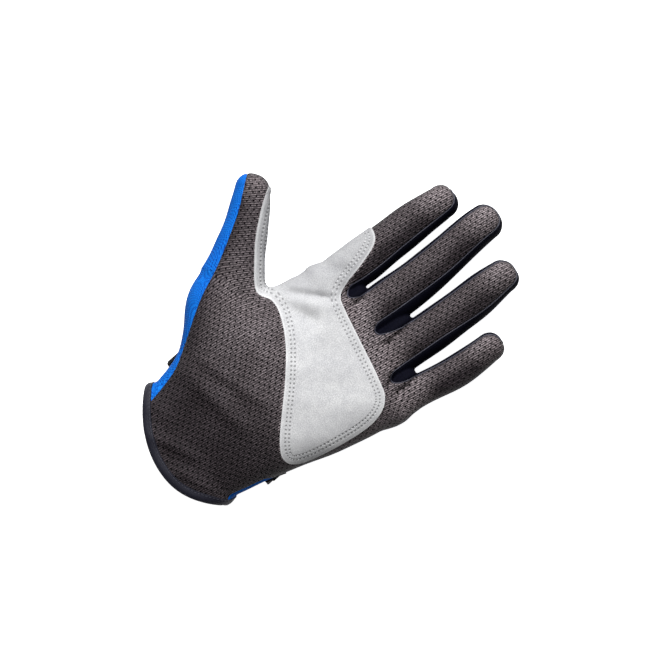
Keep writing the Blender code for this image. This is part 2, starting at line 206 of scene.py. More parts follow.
class Hand:
    """The palm and the back of the hand, measured from their CAD panels."""

    def __init__(self):
        up = np.array((0, 1.0, 0))
        stations = np.linspace(low("back_panel")[1] + 1, HAND_END, HAND_STATIONS)
        rows = []
        for y in stations:
            palm = cut_points(["palm_panel"], np.zeros(3), up, y)
            back = cut_points(["back_panel"], np.zeros(3), up, y)
            both = np.concatenate((palm, back))
            rows.append((back[:, 0].min(), both[:, 0].max(), palm[:, 2].max(), back[:, 2].min(),
                         (palm[:, 2].min() + back[:, 2].max()) / 2))
        self.fits = [np.polyfit(stations, column, HAND_DEGREE) for column in np.array(rows).T]
        self.first, self.last = stations[0], stations[-1]

    def section(self, y):
        """Left and right X, top, underside and side seam heights at y."""
        left, right, top, floor, seam = [np.polyval(fit, np.clip(y, self.first, self.last))
                                         for fit in self.fits]
        return left, right, top - WEB_FALL * np.clip(y - self.last, 0, WEB_FALL_REACH), floor, seam

    def distance(self, p):
        x, y, z = p.T
        left, right, top, floor, seam = self.section(y)
        floor = np.maximum(floor, 0.0)
        middle, wide = (left + right) / 2, (right - left) / 2
        upper = z > seam
        tall = np.where(upper, top - seam, seam - floor + 1.0)
        power = np.where(upper, PALM_POWER, BACK_POWER)
        end = WEB_END[0] + (WEB_END[1] - WEB_END[0]) * smooth_step(*WEB_STEP, x)
        ahead = np.maximum(y - end + WEB_CAP, 0) / WEB_CAP
        body = rounded(np.abs(x - middle) / wide, np.abs(z - seam) / tall, ahead,
                       wide, tall, WEB_CAP, power, WEB_POWER)
        return np.maximum(body, floor - z)


hand = Hand()
digits = {name: Digit(name) for name in DIGITS}

# ---- the skin: the digits, the hand and the forks between the fingers, joined smoothly ------------------

ROOT_BLEND = 5.0        # roundness of the join at the fingers' roots, at the thumb's, and at the forks
THUMB_BLEND = 6.5
FORK_BLEND = 1.5
# The gussets meet low between the fingers: middle X, and the Y where each one starts and ends.
FORKS = ((7.2, 26.0, 35.0), (34.4, 27.0, 45.5), (60.0, 18.0, 30.0))
FORK_SIZE = (4.2, 7.5)      # half width and half height
FORK_HEIGHT = 11.5
FORK_BACK = (12, 6)     # how far each runs back into the palm, and over what length it ends there
FORK_POWERS = (2.2, 2.6)    # roundness of its section and of its ends
TABLE = 0.3             # the glove lies on a table, a little above Z = 0
FLAT_BLEND = 1.0        # roundness of the edge round the part that lies flat


def finger_distance(p):
    return np.minimum.reduce([digits[n].distance(p) for n in DIGITS[:4]])


def forks(p):
    x, y, z = p.T
    wide, tall = FORK_SIZE
    made = []
    for middle, start, end in FORKS:
        ahead = (np.maximum(y - start, 0) / (end - start)
                 + np.maximum(start - FORK_BACK[0] - y, 0) / FORK_BACK[1])
        made.append(rounded(np.abs(x - middle) / wide, np.abs(z - FORK_HEIGHT) / tall, ahead,
                            wide, tall, end - start, *FORK_POWERS))
    return np.minimum.reduce(made)


def skin(p):
    """The glove's outer surface is where this is zero; it grows outwards, in millimetres."""
    body = smooth_min(hand.distance(p), finger_distance(p), ROOT_BLEND)
    body = smooth_min(body, forks(p), FORK_BLEND)
    body = smooth_min(body, digits["thumb"].distance(p), THUMB_BLEND) - wrinkles(p)
    return -smooth_min(-body, p[:, 2] - TABLE, FLAT_BLEND)


# Soft folds in the palm: start, end, half width, and depth, which is negative for a ridge.
FOLDS = (
    ((-18, -3.3), (1.5, 16.5), 2.8, 2.6),
    ((-13.5, -8), (7.2, 3.0), 4.9, 2.8),
    ((-5, -11.5), (11, -3), 6.5, 1.5),
    ((-16, 22), (-6, 33), 4.0, 1.3),
    ((-34, -25.5), (-12, -18), 4.2, 1.9),
    ((-17, -61.5), (31, -45), 3.4, -1.1),
    ((-18, -72), (32, -63.5), 5.0, -2.2),
    ((3, -107), (29, -93.5), 3.3, -1.5),
    ((26, -107.5), (56, -95), 3.5, -1.6),
    ((-12, -98), (6, -91.5), 4.5, -0.9),
    ((-12, -36), (24, -24), 6.0, -0.8),
)
GRADIENT_STEP = 0.1
SURFACE_SHARE = 0.95    # of the way to the skin, in each turn of to_surface
FLARE = 1.5             # how far the cloth rises towards the cuff's tape, and the length over which it does
FLARE_REACH = 8.0


def wrinkles(p):
    """How far the cloth stands out from the frame's plain form."""
    x, y, z = p.T
    # Slow unevenness all over, then a finer one, then the folds.
    swell = 0.22 * np.sin(x / 7.1 + y / 9.7) * np.sin(y / 8.3 - x / 13.0)
    swell += 0.12 * np.sin(x / 3.9 - y / 5.2 + z / 6.0)
    for start, end, width, depth in FOLDS:
        start, end = np.array(start, float), np.array(end, float)
        line = end - start
        length = np.linalg.norm(line)
        line = line / length
        along = (x - start[0]) * line[0] + (y - start[1]) * line[1]
        aside = (x - start[0]) * line[1] - (y - start[1]) * line[0]
        window = smooth_step(-0.2, 0.25, along / length) * smooth_step(1.2, 0.75, along / length)
        swell -= depth * np.exp(-((aside / width) ** 2)) * window
    swell += FLARE * smooth_step(FLARE_REACH, 1.0, cuff(p))
    return swell * smooth_step(2.0, 14.0, z)


def gradient(p, here=None):
    """The skin's outward normal."""
    here = skin(p) if here is None else here
    return unit(np.stack([skin(p + axis) - here for axis in np.eye(3) * GRADIENT_STEP], 1))


def lattice(size):
    """The whole-number points of a grid with so many points along each side."""
    return np.stack(np.meshgrid(*(np.arange(n) for n in size), indexing="ij"), -1)


CELL = 1.0              # of the grid on which the skin is first worked out
COARSE = 4              # cells to each one of a rough grid, which tells where the fine one is needed
NEAR = 2.2              # rough cells from the skin within which it is
NET_MARGIN = 6.3


def surface_net():
    """A mesh of quads, as triangles, on the zero surface of skin, from samples on a grid."""
    start, end = (np.array(b) / MM + side * NET_MARGIN for b, side in zip(CAD_BOX, (-1, 1)))
    size = np.ceil((end - start) / CELL).astype(int)
    rough_size = -(-size // COARSE) + 1
    rough = skin(start + CELL * COARSE * lattice(rough_size).reshape(-1, 3)).reshape(rough_size)
    grid = lattice(size)
    field = rough[tuple(np.round(grid / COARSE).astype(int).transpose(3, 0, 1, 2))]
    wanted = np.abs(field) < CELL * COARSE * NEAR
    field[wanted] = skin(start + CELL * grid[wanted])
    inside = field < 0
    crossing_sum = np.zeros((*(size - 1), 3))
    crossing_count = np.zeros(size - 1)
    corners = [(i, j, k) for i in (0, 1) for j in (0, 1) for k in (0, 1)]

    def corner(array, c):
        return array[c[0]:c[0] + size[0] - 1, c[1]:c[1] + size[1] - 1, c[2]:c[2] + size[2] - 1]

    for a in corners:
        for axis in range(3):
            if a[axis] == 0:
                b = tuple(1 if i == axis else a[i] for i in range(3))
                fa, fb = corner(field, a), corner(field, b)
                crossed = (fa < 0) != (fb < 0)
                share = np.where(crossed, fa / np.where(crossed, fa - fb, 1), 0)
                for i in range(3):
                    offset = a[i] + (share if i == axis else 0)
                    crossing_sum[..., i] += np.where(crossed, offset, 0)
                crossing_count += crossed
    used = crossing_count > 0
    index = np.full(size - 1, -1)
    index[used] = np.arange(used.sum())
    verts = np.argwhere(used) + crossing_sum[used] / crossing_count[used][:, None]
    verts = start + verts * CELL
    tris = []
    for axis in range(3):
        u, v = (axis + 1) % 3, (axis + 2) % 3
        cells = np.argwhere(np.diff(inside, axis=axis))
        cells = cells[(cells[:, u] > 0) & (cells[:, v] > 0) & (cells < size - 1).all(1)]
        ring = []
        for du, dv in ((0, 0), (1, 0), (1, 1), (0, 1)):
            c = cells.copy()
            c[:, u] -= du
            c[:, v] -= dv
            ring.append(index[c[:, 0], c[:, 1], c[:, 2]])
        ring = np.stack(ring, 1)
        outward = inside[cells[:, 0], cells[:, 1], cells[:, 2]]
        ring[~outward] = ring[~outward][:, ::-1]
        tris += [ring[:, (0, 1, 2)], ring[:, (0, 2, 3)]]
    return verts, np.concatenate(tris)


def to_surface(p, turns=1):
    for _ in range(turns):
        here = skin(p)
        p = p - gradient(p, here) * here[:, None] * SURFACE_SHARE
    return p


# ---- seams: each is where a smooth function of place is zero ------------------------------------------


def smooth_curve(keys, step=1.5):
    """Points about step apart on the smooth curve through some key points."""
    keys = np.array(keys, float)
    around = np.concatenate((2 * keys[:1] - keys[1:2], keys, 2 * keys[-1:] - keys[-2:-1]))
    points = []
    for a, b, c, d in zip(around, around[1:], around[2:], around[3:]):
        count = max(2, int(np.linalg.norm(c - b) / step))
        t = (np.arange(count) / count)[:, None]
        points.append(0.5 * (2 * b + (c - a) * t + (2 * a - 5 * b + 4 * c - d) * t**2
                             + (3 * b - a - 3 * c + d) * t**3))
    return np.concatenate((*points, keys[-1:]))


def run_along(line):
    """Length along a polyline up to each of its points."""
    return np.concatenate(([0], np.cumsum(np.linalg.norm(np.diff(line, axis=0), axis=1))))


def point_at(line, at):
    """Points of a polyline at some lengths along it."""
    run = run_along(line)
    return np.stack([np.interp(at, run, column) for column in line.T], 1)


def nearest(points, line):
    """Distance to a flat polyline, length along it, and side: positive on its left."""
    spans = np.diff(line, axis=0)
    lengths = np.linalg.norm(spans, axis=1)
    best = np.full(len(points), 1e9)
    run, side = np.zeros(len(points)), np.ones(len(points))
    for start, span, length, offset in zip(line, spans, lengths, run_along(line)):
        rel = points - start
        share = np.clip(rel @ span / length**2, 0, 1)
        gap = rel - share[:, None] * span
        distance = np.hypot(*gap.T)
        closer = distance < best
        best = np.where(closer, distance, best)
        run = np.where(closer, offset + share * length, run)
        side = np.where(closer, span[0] * gap[:, 1] - span[1] * gap[:, 0], side)
    return best, run, side


def inside_outline(points, line):
    """Whether each point lies inside a closed polyline."""
    ends = np.roll(line, -1, axis=0)
    inside = np.zeros(len(points), bool)
    for (ax, ay), (bx, by) in zip(line, ends):
        if ay != by:
            crosses = (ay > points[:, 1]) != (by > points[:, 1])
            inside ^= crosses & (points[:, 0] < ax + (points[:, 1] - ay) / (by - ay) * (bx - ax))
    return inside


# The edge where mesh meets knit along the thumb's outer side and the radial side of the wrist.
THUMB_SEAM = smooth_curve(((-11, -100), (-17.5, -78), (-25.5, -65), (-41, -42), (-51, -23), (-66, 0),
                           (-75.5, 11.5), (-85, 22)))
# The suede's sewn edge: up the thumb's inner side to its web, across the palm, up the index finger.
SUEDE_EDGE = smooth_curve((
    (-71, 27), (-66, 19.5), (-60, 12), (-50, 1.5), (-40, -6.5), (-31, -13), (-25.5, -15), (-21.5, -13.2),
    (-17, -10.8), (-8, -12), (6, -18.6), (22, -30.5), (40, -46.5), (50, -54.3), (57, -56.5), (62.5, -52.5),
    (66.5, -39), (69.3, -14), (67.5, 0), (61.5, 8), (50, 11.5), (30, 15), (12, 18), (3, 20.5), (-1, 27),
    (-5, 41), (-9, 51.5), (-13.5, 56), (-21, 57.5)))
SUEDE_OUTLINE = np.concatenate((SUEDE_EDGE, ((-34, 57), (-34, 0), (-26, -7), (-62, 30))))
WEBS = ((5.0, 24.3), (30.0, 24.8), (56.8, 16.0))    # the roots between neighbouring fingers
STITCH = 2.3            # from one stitch to the next
STITCH_ROWS = (2.9, 4.9)
# The cuff's round tongue: depth, how far its middle is off the hand's, how far its curve runs past the
# hand's left and right sides, roundness, and the heights below and above the side seam where it begins.
CUFF_DEPTH = low("back_panel")[1] - low("palm_panel")[1]
CUFF_SHIFT = 6
CUFF_PAST = (2, 4)
CUFF_POWER = 2.1
CUFF_RISE = (9, 3)


def cuff(p):
    """Positive on the glove's side of its cuff, which is a round tongue on the palm."""
    x, y, z = p.T
    left, right, _, _, seam = hand.section(np.full(len(p), hand.first))
    middle = (left + right) / 2 + CUFF_SHIFT
    half = np.where(x > middle, right + CUFF_PAST[1] - middle, middle + CUFF_PAST[0] - left)
    bow = np.maximum(1 - np.abs((x - middle) / half) ** CUFF_POWER, 0)
    rise = smooth_step(seam - CUFF_RISE[0], seam + CUFF_RISE[1], z)
    return y - low("back_panel")[1] + CUFF_DEPTH * bow * rise


def finger_of(p):
    """Which finger each point is nearest to."""
    return np.argmin([digits[n].distance(p) for n in DIGITS[:4]], axis=0)


def per_finger(p, value):
    """value(digit) at each point, for the finger that it is nearest to."""
    return np.choose(finger_of(p), [value(digits[n]) for n in DIGITS[:4]])


FINGER_START = (12, 4)  # Y where fingers start to take over from the hand, and beside the little finger
FINGER_SHARE = 16       # and over what length
THUMB_SHARE = ((-14, 6), (8, -2))   # where the thumb takes over, along it and across it


def shares(p):
    """How far each point belongs to a finger, and how far to the thumb, and not to the hand."""
    start = FINGER_START[0] - (FINGER_START[0] - FINGER_START[1]) * smooth_step(*WEB_STEP, p[:, 0])
    s, a, _ = digits["thumb"].local(p)
    in_thumb = smooth_step(*THUMB_SHARE[0], s) * smooth_step(*THUMB_SHARE[1], a)
    return smooth_step(0, FINGER_SHARE, p[:, 1] - start), in_thumb


def towards_digits(p, on_hand, value):
    """on_hand where the hand is, going over to value(digit) along each digit."""
    in_finger, in_thumb = shares(p)
    mixed = on_hand + (per_finger(p, value) - on_hand) * in_finger
    return mixed + (value(digits["thumb"]) - mixed) * in_thumb


BACK_DROP = 2.5         # how far the back panel's seam lies below the side of the hand
BACK_RISE = 8.5         # how far it comes up at the wrist, on the little finger's side
BACK_ON_DIGIT = 0.4     # its place below a digit's middle, as a share of the half height


def back_height(p):
    """Height of the seam between the back panel and what it is sewn to."""
    x, y, _ = p.T
    seam = hand.section(y)[4]
    height = seam - BACK_DROP + BACK_RISE * smooth_step(-62, -72, y) * smooth_step(20, 45, x)

    def low_side(digit):
        _, _, centre, tall = digit.section(digit.local(p)[0])
        return centre - BACK_ON_DIGIT * tall

    return towards_digits(p, height, low_side)


THUMB_GRAIN = math.radians(26)      # the cloth is turned on the thumb, about this point
THUMB_PIVOT = np.array((-35.0, -21.0))
THUMB_TURN = ((-24, 14), (24, 0))   # and goes over to that between these, along the thumb and across it
SLOPE = 0.35            # cloth that turns down less than this is let out less, so that its grain stays even


def cloth_place(p, normals, under):
    """The cloth's own flat coordinates: its place seen from above, let out the way that it faces where it
    turns down, or up from under the hand. On the thumb the cloth runs across."""

    def let_out(bottom, top):
        radius = (top - bottom) / 2
        down = np.where(under, p[:, 2] - bottom, top - p[:, 2]) / radius
        turned = np.arccos(np.clip(1 - down, -1, 1))
        return radius * (turned - np.sin(turned))

    def on_digit(digit):
        _, _, centre, tall = digit.section(digit.local(p)[0])
        return let_out(centre - tall, centre + tall)

    _, _, top, floor, _ = hand.section(p[:, 1])
    amount = towards_digits(p, let_out(floor, top), on_digit)
    facing = normals[:, :2] / np.maximum(np.linalg.norm(normals[:, :2], axis=1), SLOPE)[:, None]
    flat = p[:, :2] + facing * amount[:, None]
    along, across, _ = digits["thumb"].local(p)
    share = smooth_step(*THUMB_TURN[0], along) * smooth_step(*THUMB_TURN[1], across)
    c, s = math.cos(THUMB_GRAIN), math.sin(THUMB_GRAIN)
    turned = (flat - THUMB_PIVOT) @ np.array(((c, s), (-s, c))) + THUMB_PIVOT
    return flat + (turned - flat) * share[:, None]


def back_seam(p):
    """Positive on the palm's side of the seam round the back panel."""
    return np.minimum(p[:, 2] - back_height(p), thumb_seam(p))


# Edges of each finger's palm panel as shares of its half width: towards the thumb, and towards the little
# finger at its root and at its tip. The outermost two have no gusset, so their edges lie beyond the finger.
NO_GUSSET = 1.4
PANEL_EDGE = {"index": (NO_GUSSET, 0.66, 0.64), "middle": (0.9, 0.5, 0.66), "ring": (0.9, 0.53, 0.74),
              "little": (0.9, NO_GUSSET, NO_GUSSET)}
GUSSET_START = 44       # Y from which whole fingers have gussets; nearer, only the webs do
WEB_REACH = 9           # half width of a web's gusset, and how pointed it is towards the palm
WEB_POINT = 3.2
PANEL_POWER = 2.4       # roundness of a palm panel's tip


def gusset_seam(p):
    """Positive on the fourchette gussets between the fingers."""

    def beyond_panel(digit):
        s, a, _ = digit.local(p)
        middle, wide, _, _ = digit.section(s)
        left, near, far = PANEL_EDGE[digit.name]
        right = near + (far - near) * smooth_step(20, 60, s)
        half, centre = (right + left) / 2, (right - left) / 2
        t = np.maximum(s - (digit.tip - CAP - 1), 0) / (CAP + 0.6)
        u = np.abs((a - middle) / wide - centre) / half
        return ((u**PANEL_POWER + t**PANEL_POWER) ** (1 / PANEL_POWER) - 1) * half * wide

    ahead = p[:, 1] - GUSSET_START
    webs = []
    for x, y in WEBS:
        aside = p[:, 0] - x
        webs.append(np.where(np.abs(aside) < WEB_REACH, p[:, 1] - y - aside**2 / WEB_POINT, ahead))
    return np.minimum(per_finger(p, beyond_panel), np.maximum(np.max(webs, axis=0), ahead))


MAP_MARGIN = 8.0


class FlatMap:
    """A function of X and Y, worked out once on a grid of points and read off between them."""

    def __init__(self, function, cell=1.0):
        box_low, box_high = (np.array(b[:2]) / MM for b in CAD_BOX)
        self.start, self.cell = box_low - MAP_MARGIN, cell
        size = ((box_high + MAP_MARGIN - self.start) / cell).astype(int) + 2
        self.values = function(self.start + cell * lattice(size).reshape(-1, 2)).reshape(size)

    def __call__(self, p):
        at = (p[:, :2] - self.start) / self.cell
        base = np.clip(at.astype(int), 0, np.array(self.values.shape) - 2)
        (i, j), (u, v) = base.T, np.clip(at - base, 0, 1).T
        value = self.values
        return ((value[i, j] * (1 - u) + value[i + 1, j] * u) * (1 - v)
                + (value[i, j + 1] * (1 - u) + value[i + 1, j + 1] * u) * v)


def suede_side(xy):
    distance, _, _ = nearest(xy, SUEDE_EDGE)
    return np.where(inside_outline(xy, SUEDE_OUTLINE), distance, -distance)


def thumb_side(xy):
    distance, _, side = nearest(xy, THUMB_SEAM)
    return -np.sign(side) * distance


suede_seam = FlatMap(suede_side)        # positive on the suede
thumb_seam = FlatMap(thumb_side)        # positive on the palm's side


# ---- where each digit's pieces start: beyond the root cut lies its base, then its tip ------

ROOT_CUT = {"index": -2.0, "middle": -2.0, "ring": -2.0, "little": -2.0, "thumb": 3.5}
THUMB_WEB = 3.0         # how far across from the thumb's middle its cloth goes, towards the palm
ROOT_BEND = 15.0        # the cut between a digit's base and tip lies halfway between this far past the root cut
FOLD_BEND = 8.5         # and this far before its middle joint


def root_bend(digit):
    start = ROOT_CUT[digit.name] + 0.5
    return start, start + ROOT_BEND


def tip_cut(digit):
    return (root_bend(digit)[1] + digit.folds[1] - FOLD_BEND) / 2


def in_digit(p, index):
    """Positive where the cloth belongs to a digit and not to the hand."""
    digit = digits[DIGITS[index]]
    s, a, _ = digit.local(p)
    if digit.name == "thumb":
        return np.minimum(s - ROOT_CUT["thumb"], THUMB_WEB - a)
    return s - ROOT_CUT[digit.name]


def places(p):
    """0 on the hand, and 1 + 2 * digit on a digit's base or 2 + 2 * digit on its tip."""
    place = np.zeros(len(p), int)
    finger = finger_of(p)
    for index, name in enumerate(DIGITS):
        mine = in_digit(p, index) > 0
        if name != "thumb":
            mine &= finger == index
        s = digits[name].local(p)[0]
        place[mine] = 1 + 2 * index + (s[mine] > tip_cut(digits[name]))
    return place


# ---- cutting the skin along its seams -----------------------------------------------------------------


def edges_of(tris):
    """The three edges of each triangle, lower vertex first."""
    return np.sort(tris[:, ((0, 1), (1, 2), (2, 0))].reshape(-1, 2), axis=1)


SEAM_JUMP = 4.0         # a field that changes by more than this within a triangle has no seam there
SNAP = 0.02             # a vertex closer to a seam than this is on it
RELAX_SHARE = 0.6
SMOOTH_TURNS = 6


def cut(verts, tris, field, only=None):
    """Splits every triangle that a zero line of field crosses, so that none lies on both sides."""
    value = field(verts)
    value[np.abs(value) < SNAP] = 0
    edges, back = np.unique(edges_of(tris), axis=0, return_inverse=True)
    a, b = value[edges].T
    crossed = (a * b < 0) & (np.abs(a - b) < SEAM_JUMP)
    if only is not None:
        crossed[crossed] = only(verts[edges[crossed].ravel()]).reshape(-1, 2).all(1)
    a, b, (i, j) = a[crossed], b[crossed], edges[crossed].T
    share = (a / (a - b))[:, None]
    new = np.full(len(edges), -1)
    new[crossed] = len(verts) + np.arange(crossed.sum())
    verts = np.concatenate((verts, verts[i] + (verts[j] - verts[i]) * share))
    mids = new[back.reshape(-1, 3)]
    count = (mids >= 0).sum(1)
    made = [tris[count == 0]]
    for k in range(3):
        x, y, z = tris[:, k], tris[:, (k + 1) % 3], tris[:, (k + 2) % 3]
        xy, yz, zx = mids[:, k], mids[:, (k + 1) % 3], mids[:, (k + 2) % 3]
        two = (count == 2) & (yz < 0)
        made += [np.stack(t, 1)[two] for t in ((x, xy, zx), (xy, y, z), (xy, z, zx))]
        one = (count == 1) & (yz >= 0)
        made += [np.stack(t, 1)[one] for t in ((x, y, yz), (x, yz, z))]
    return verts, np.concatenate(made)


def add_rows(total, index, rows):
    """Adds each row to the row of total that index gives for it."""
    for axis in range(3):
        total[:, axis] += np.bincount(index, rows[:, axis], len(total))


def relax(verts, tris, turns):
    """Evens out the triangles: each vertex moves to the middle of its neighbours, then back to the skin."""
    for _ in range(turns):
        total, count = np.zeros_like(verts), np.zeros(len(verts))
        for i, j in ((0, 1), (1, 2), (2, 0)):
            for a, b in ((tris[:, i], tris[:, j]), (tris[:, j], tris[:, i])):
                add_rows(total, a, verts[b])
                count += np.bincount(a, minlength=len(verts))
        verts = verts + RELAX_SHARE * (total / np.maximum(count, 1)[:, None] - verts)
        verts = to_surface(verts)
    return verts


def vertex_normals(verts, tris):
    faces = np.cross(verts[tris[:, 1]] - verts[tris[:, 0]], verts[tris[:, 2]] - verts[tris[:, 0]])
    total = np.zeros_like(verts)
    for corner in range(3):
        add_rows(total, tris[:, corner], faces)
    return unit(total)


def borders(tris, first, second):
    """Edges between a triangle of one set and a triangle of another, as vertex pairs."""
    edges = edges_of(tris)
    key = edges[:, 0].astype(np.int64) * (tris.max() + 1) + edges[:, 1]
    one, other = np.repeat(first, 3), np.repeat(second, 3)
    return edges[one & np.isin(key, key[other])]


def chains(edges):
    """The polylines that some edges form, as lists of vertices."""
    links = {}
    for a, b in np.unique(edges, axis=0).tolist():
        links.setdefault(a, []).append(b)
        links.setdefault(b, []).append(a)
    ends = sorted(v for v in links if len(links[v]) != 2)
    made, used = [], set()
    for start in ends + sorted(links):
        for step in links[start]:
            if (start, step) in used:
                continue
            line = [start, step]
            used |= {(start, step), (step, start)}
            while len(links[line[-1]]) == 2 and line[-1] != start:
                ahead = [v for v in links[line[-1]] if v != line[-2]]
                if not ahead or (line[-1], ahead[0]) in used:
                    break
                used |= {(line[-1], ahead[0]), (ahead[0], line[-1])}
                line.append(ahead[0])
            made.append(line)
    return made


def resample(points, step, closed=False):
    """The same line with its points evenly spaced, and its small steps smoothed out."""
    for _ in range(SMOOTH_TURNS):
        if closed:
            points = (np.roll(points, 1, 0) + 2 * points + np.roll(points, -1, 0)) / 4
        else:
            points = np.concatenate((points[:1], (points[:-2] + 2 * points[1:-1] + points[2:]) / 4,
                                     points[-1:]))
    if closed:
        points = np.concatenate((points, points[:1]))
    length = run_along(points)[-1]
    count = max(3, int(round(length / step)))
    return point_at(points, np.linspace(0, length, count + 1)[:count + (not closed)])


# ---- pieces: each panel, cut at the places where the hand bends --------------------------------------

KINDS = ("mesh", "knit", "gusset", "suede")
MESH, KNIT, GUSSET, SUEDE = range(4)
PLACES = ("hand",) + tuple(f"{name}_{part}" for name in DIGITS for part in ("base", "tip"))
SUEDE_LIFT = 0.8        # the suede lies on the mesh
SUEDE_RISE = (-0.5, 0.7)    # distances from its edge between which it rises to that
GROOVE = (1.1, 0.5)     # half width and depth of a sewn seam
GROOVE_POWER = 1.5      # how sharp its bottom is
SUEDE_BEVEL = 0.6       # width of the suede's rounded edge
WEB_CUT = 14            # Y from which the cloth between two fingers is shared out, and how far from them
WEB_CUT_REACH = 14
THUMB_CUT_REACH = 20    # the thumb's cuts go no further than this across from its middle


def kinds(p):
    """Which panel each point belongs to."""
    kind = np.where(gusset_seam(p) > 0, GUSSET, MESH)
    kind = np.where(suede_seam(p) > 0, SUEDE, kind)
    return np.where(back_seam(p) < 0, KNIT, kind)


def in_front(p):
    """Whether each point is on the palm's side of the back panel's seam."""
    return back_seam(p) >= -0.01


def sew(verts, tris):
    """The skin cut along all its seams, with each triangle's panel and place."""
    verts, tris = cut(verts, tris, cuff)
    tris = tris[cuff(verts[tris].mean(1)) > 0]
    groove = (0, GROOVE[0], -GROOVE[0])
    for seam, offsets, where in ((back_seam, groove, None), (gusset_seam, groove, in_front),
                                 (suede_seam, (0, SUEDE_BEVEL), in_front)):
        for offset in offsets:
            verts, tris = cut(verts, tris, lambda p: seam(p) - offset, where)
    for one, other in zip(DIGITS[:3], DIGITS[1:4]):
        verts, tris = cut(verts, tris, lambda p: digits[one].distance(p) - digits[other].distance(p),
                          lambda p: (p[:, 1] > WEB_CUT) & (finger_distance(p) < WEB_CUT_REACH))
    for index, name in enumerate(DIGITS):
        digit = digits[name]

        def mine(p):
            return (finger_of(p) == index) if index < 4 else (digit.local(p)[1] < THUMB_CUT_REACH)

        verts, tris = cut(verts, tris, lambda p: in_digit(p, index), mine)
        verts, tris = cut(verts, tris, lambda p: digit.local(p)[0] - tip_cut(digit),
                          lambda p: mine(p) & (in_digit(p, index) > 0))
    centres = verts[tris].mean(1)
    return verts, tris, kinds(centres), places(centres)


def sink_seams(verts, normals):
    """Lets the cloth sink in beside each sewn seam."""
    width, depth = GROOVE
    back = np.abs(back_seam(verts))
    sewn = (back_seam(verts) > -0.1) & (suede_seam(verts) <= 0)
    side = np.where(sewn, np.abs(gusset_seam(verts)), np.inf)
    near = np.clip(1 - np.minimum(back, side) / width, 0, 1)
    return verts - normals * (depth * near**GROOVE_POWER)[:, None]


class Piece:
    """One object's mesh in the making: cloth, threads and piping, each with its own material."""

    def __init__(self, name):
        self.name = name
        self.verts, self.faces, self.normals, self.uvs, self.marks, self.material = [], [], [], [], [], []
        self.count = 0

    def add(self, verts, faces, normals, material, uvs, marks=None):
        """New vertices and the faces through them; normals, uvs and marks hold a row for each vertex."""
        corners = faces.ravel()
        marks = np.zeros((len(verts), 2)) if marks is None else marks
        self.verts.append(verts)
        self.add_faces(faces + self.count, normals[corners], material, uvs[corners], marks[corners])
        self.count += len(verts)

    def add_faces(self, faces, normals, material, uvs, marks):
        """Faces through vertices that are there; normals, uvs and marks hold a row for each corner."""
        self.faces += faces.tolist()
        self.normals.append(normals)
        self.uvs.append(uvs)
        self.marks.append(marks)
        self.material += [material] * len(faces)

    def build(self, *materials):
        mesh = bpy.data.meshes.new(self.name)
        mesh.from_pydata((np.concatenate(self.verts) * MM).tolist(), [], self.faces)
        for layer, rows in (("cloth", self.uvs), ("edge", self.marks)):
            mesh.uv_layers.new(name=layer).data.foreach_set("uv", np.concatenate(rows).ravel())
        for material in materials:
            mesh.materials.append(material)
        mesh.polygons.foreach_set("material_index", self.material)
        mesh.shade_smooth()
        mesh.normals_split_custom_set(np.concatenate(self.normals).tolist())
        thing = bpy.data.objects.new(self.name, mesh)
        bpy.context.scene.collection.objects.link(thing)
        return thing


def cloth(piece, verts, tris, normals, lift, thickness, uvs, marks):
    """A closed panel: the outer face, the inner face, and the wall round its edge."""
    used, faces = np.unique(tris, return_inverse=True)
    faces = faces.reshape(-1, 3)
    n, count = normals[used], len(used)
    outer = verts[used] + n * lift[used][:, None]
    inner = verts[used] - n * thickness
    edges = faces[:, ((0, 1), (1, 2), (2, 0))].reshape(-1, 2)
    key = edges[:, 0].astype(np.int64) * count + edges[:, 1]
    back = edges[:, 1].astype(np.int64) * count + edges[:, 0]
    rim = edges[~np.isin(key, back)]
    wall = np.cross(outer[rim[:, 1]] - outer[rim[:, 0]], n[rim[:, 0]])
    side = np.zeros_like(n)
    for end in range(2):
        add_rows(side, rim[:, end], wall)
    side = unit(side)
    allv = np.concatenate((outer, inner))
    both = np.concatenate((faces, faces[:, ::-1] + count))
    uv, mark = np.tile(uvs[used], (2, 1)), np.tile(marks[used], (2, 1))
    piece.add(allv, both, np.concatenate((n, -n)), 0, uv, mark)
    quads = np.stack((rim[:, 1], rim[:, 0], rim[:, 0] + count, rim[:, 1] + count), 1)
    corners = quads.ravel()
    piece.add_faces(quads + piece.count - len(allv), np.tile(side, (2, 1))[corners], 0, uv[corners],
                    mark[corners])


def tube(piece, line, normals, radius, material, sides=6, flat=1.0):
    """A thin tube along a line that lies on the skin, with closed ends."""
    ahead = unit(np.gradient(line, axis=0))
    aside = unit(np.cross(ahead, normals))
    up = np.cross(aside, ahead)
    angle = 2 * np.pi * np.arange(sides) / sides
    ring = np.cos(angle)[:, None] * aside[:, None] + flat * np.sin(angle)[:, None] * up[:, None]
    verts = line[:, None] + radius * ring
    add_grid(piece, verts, material, np.zeros((len(line), sides, 2)), False, unit(ring.reshape(-1, 3)))


# ---- materials ----------------------------------------------------------------------------------------


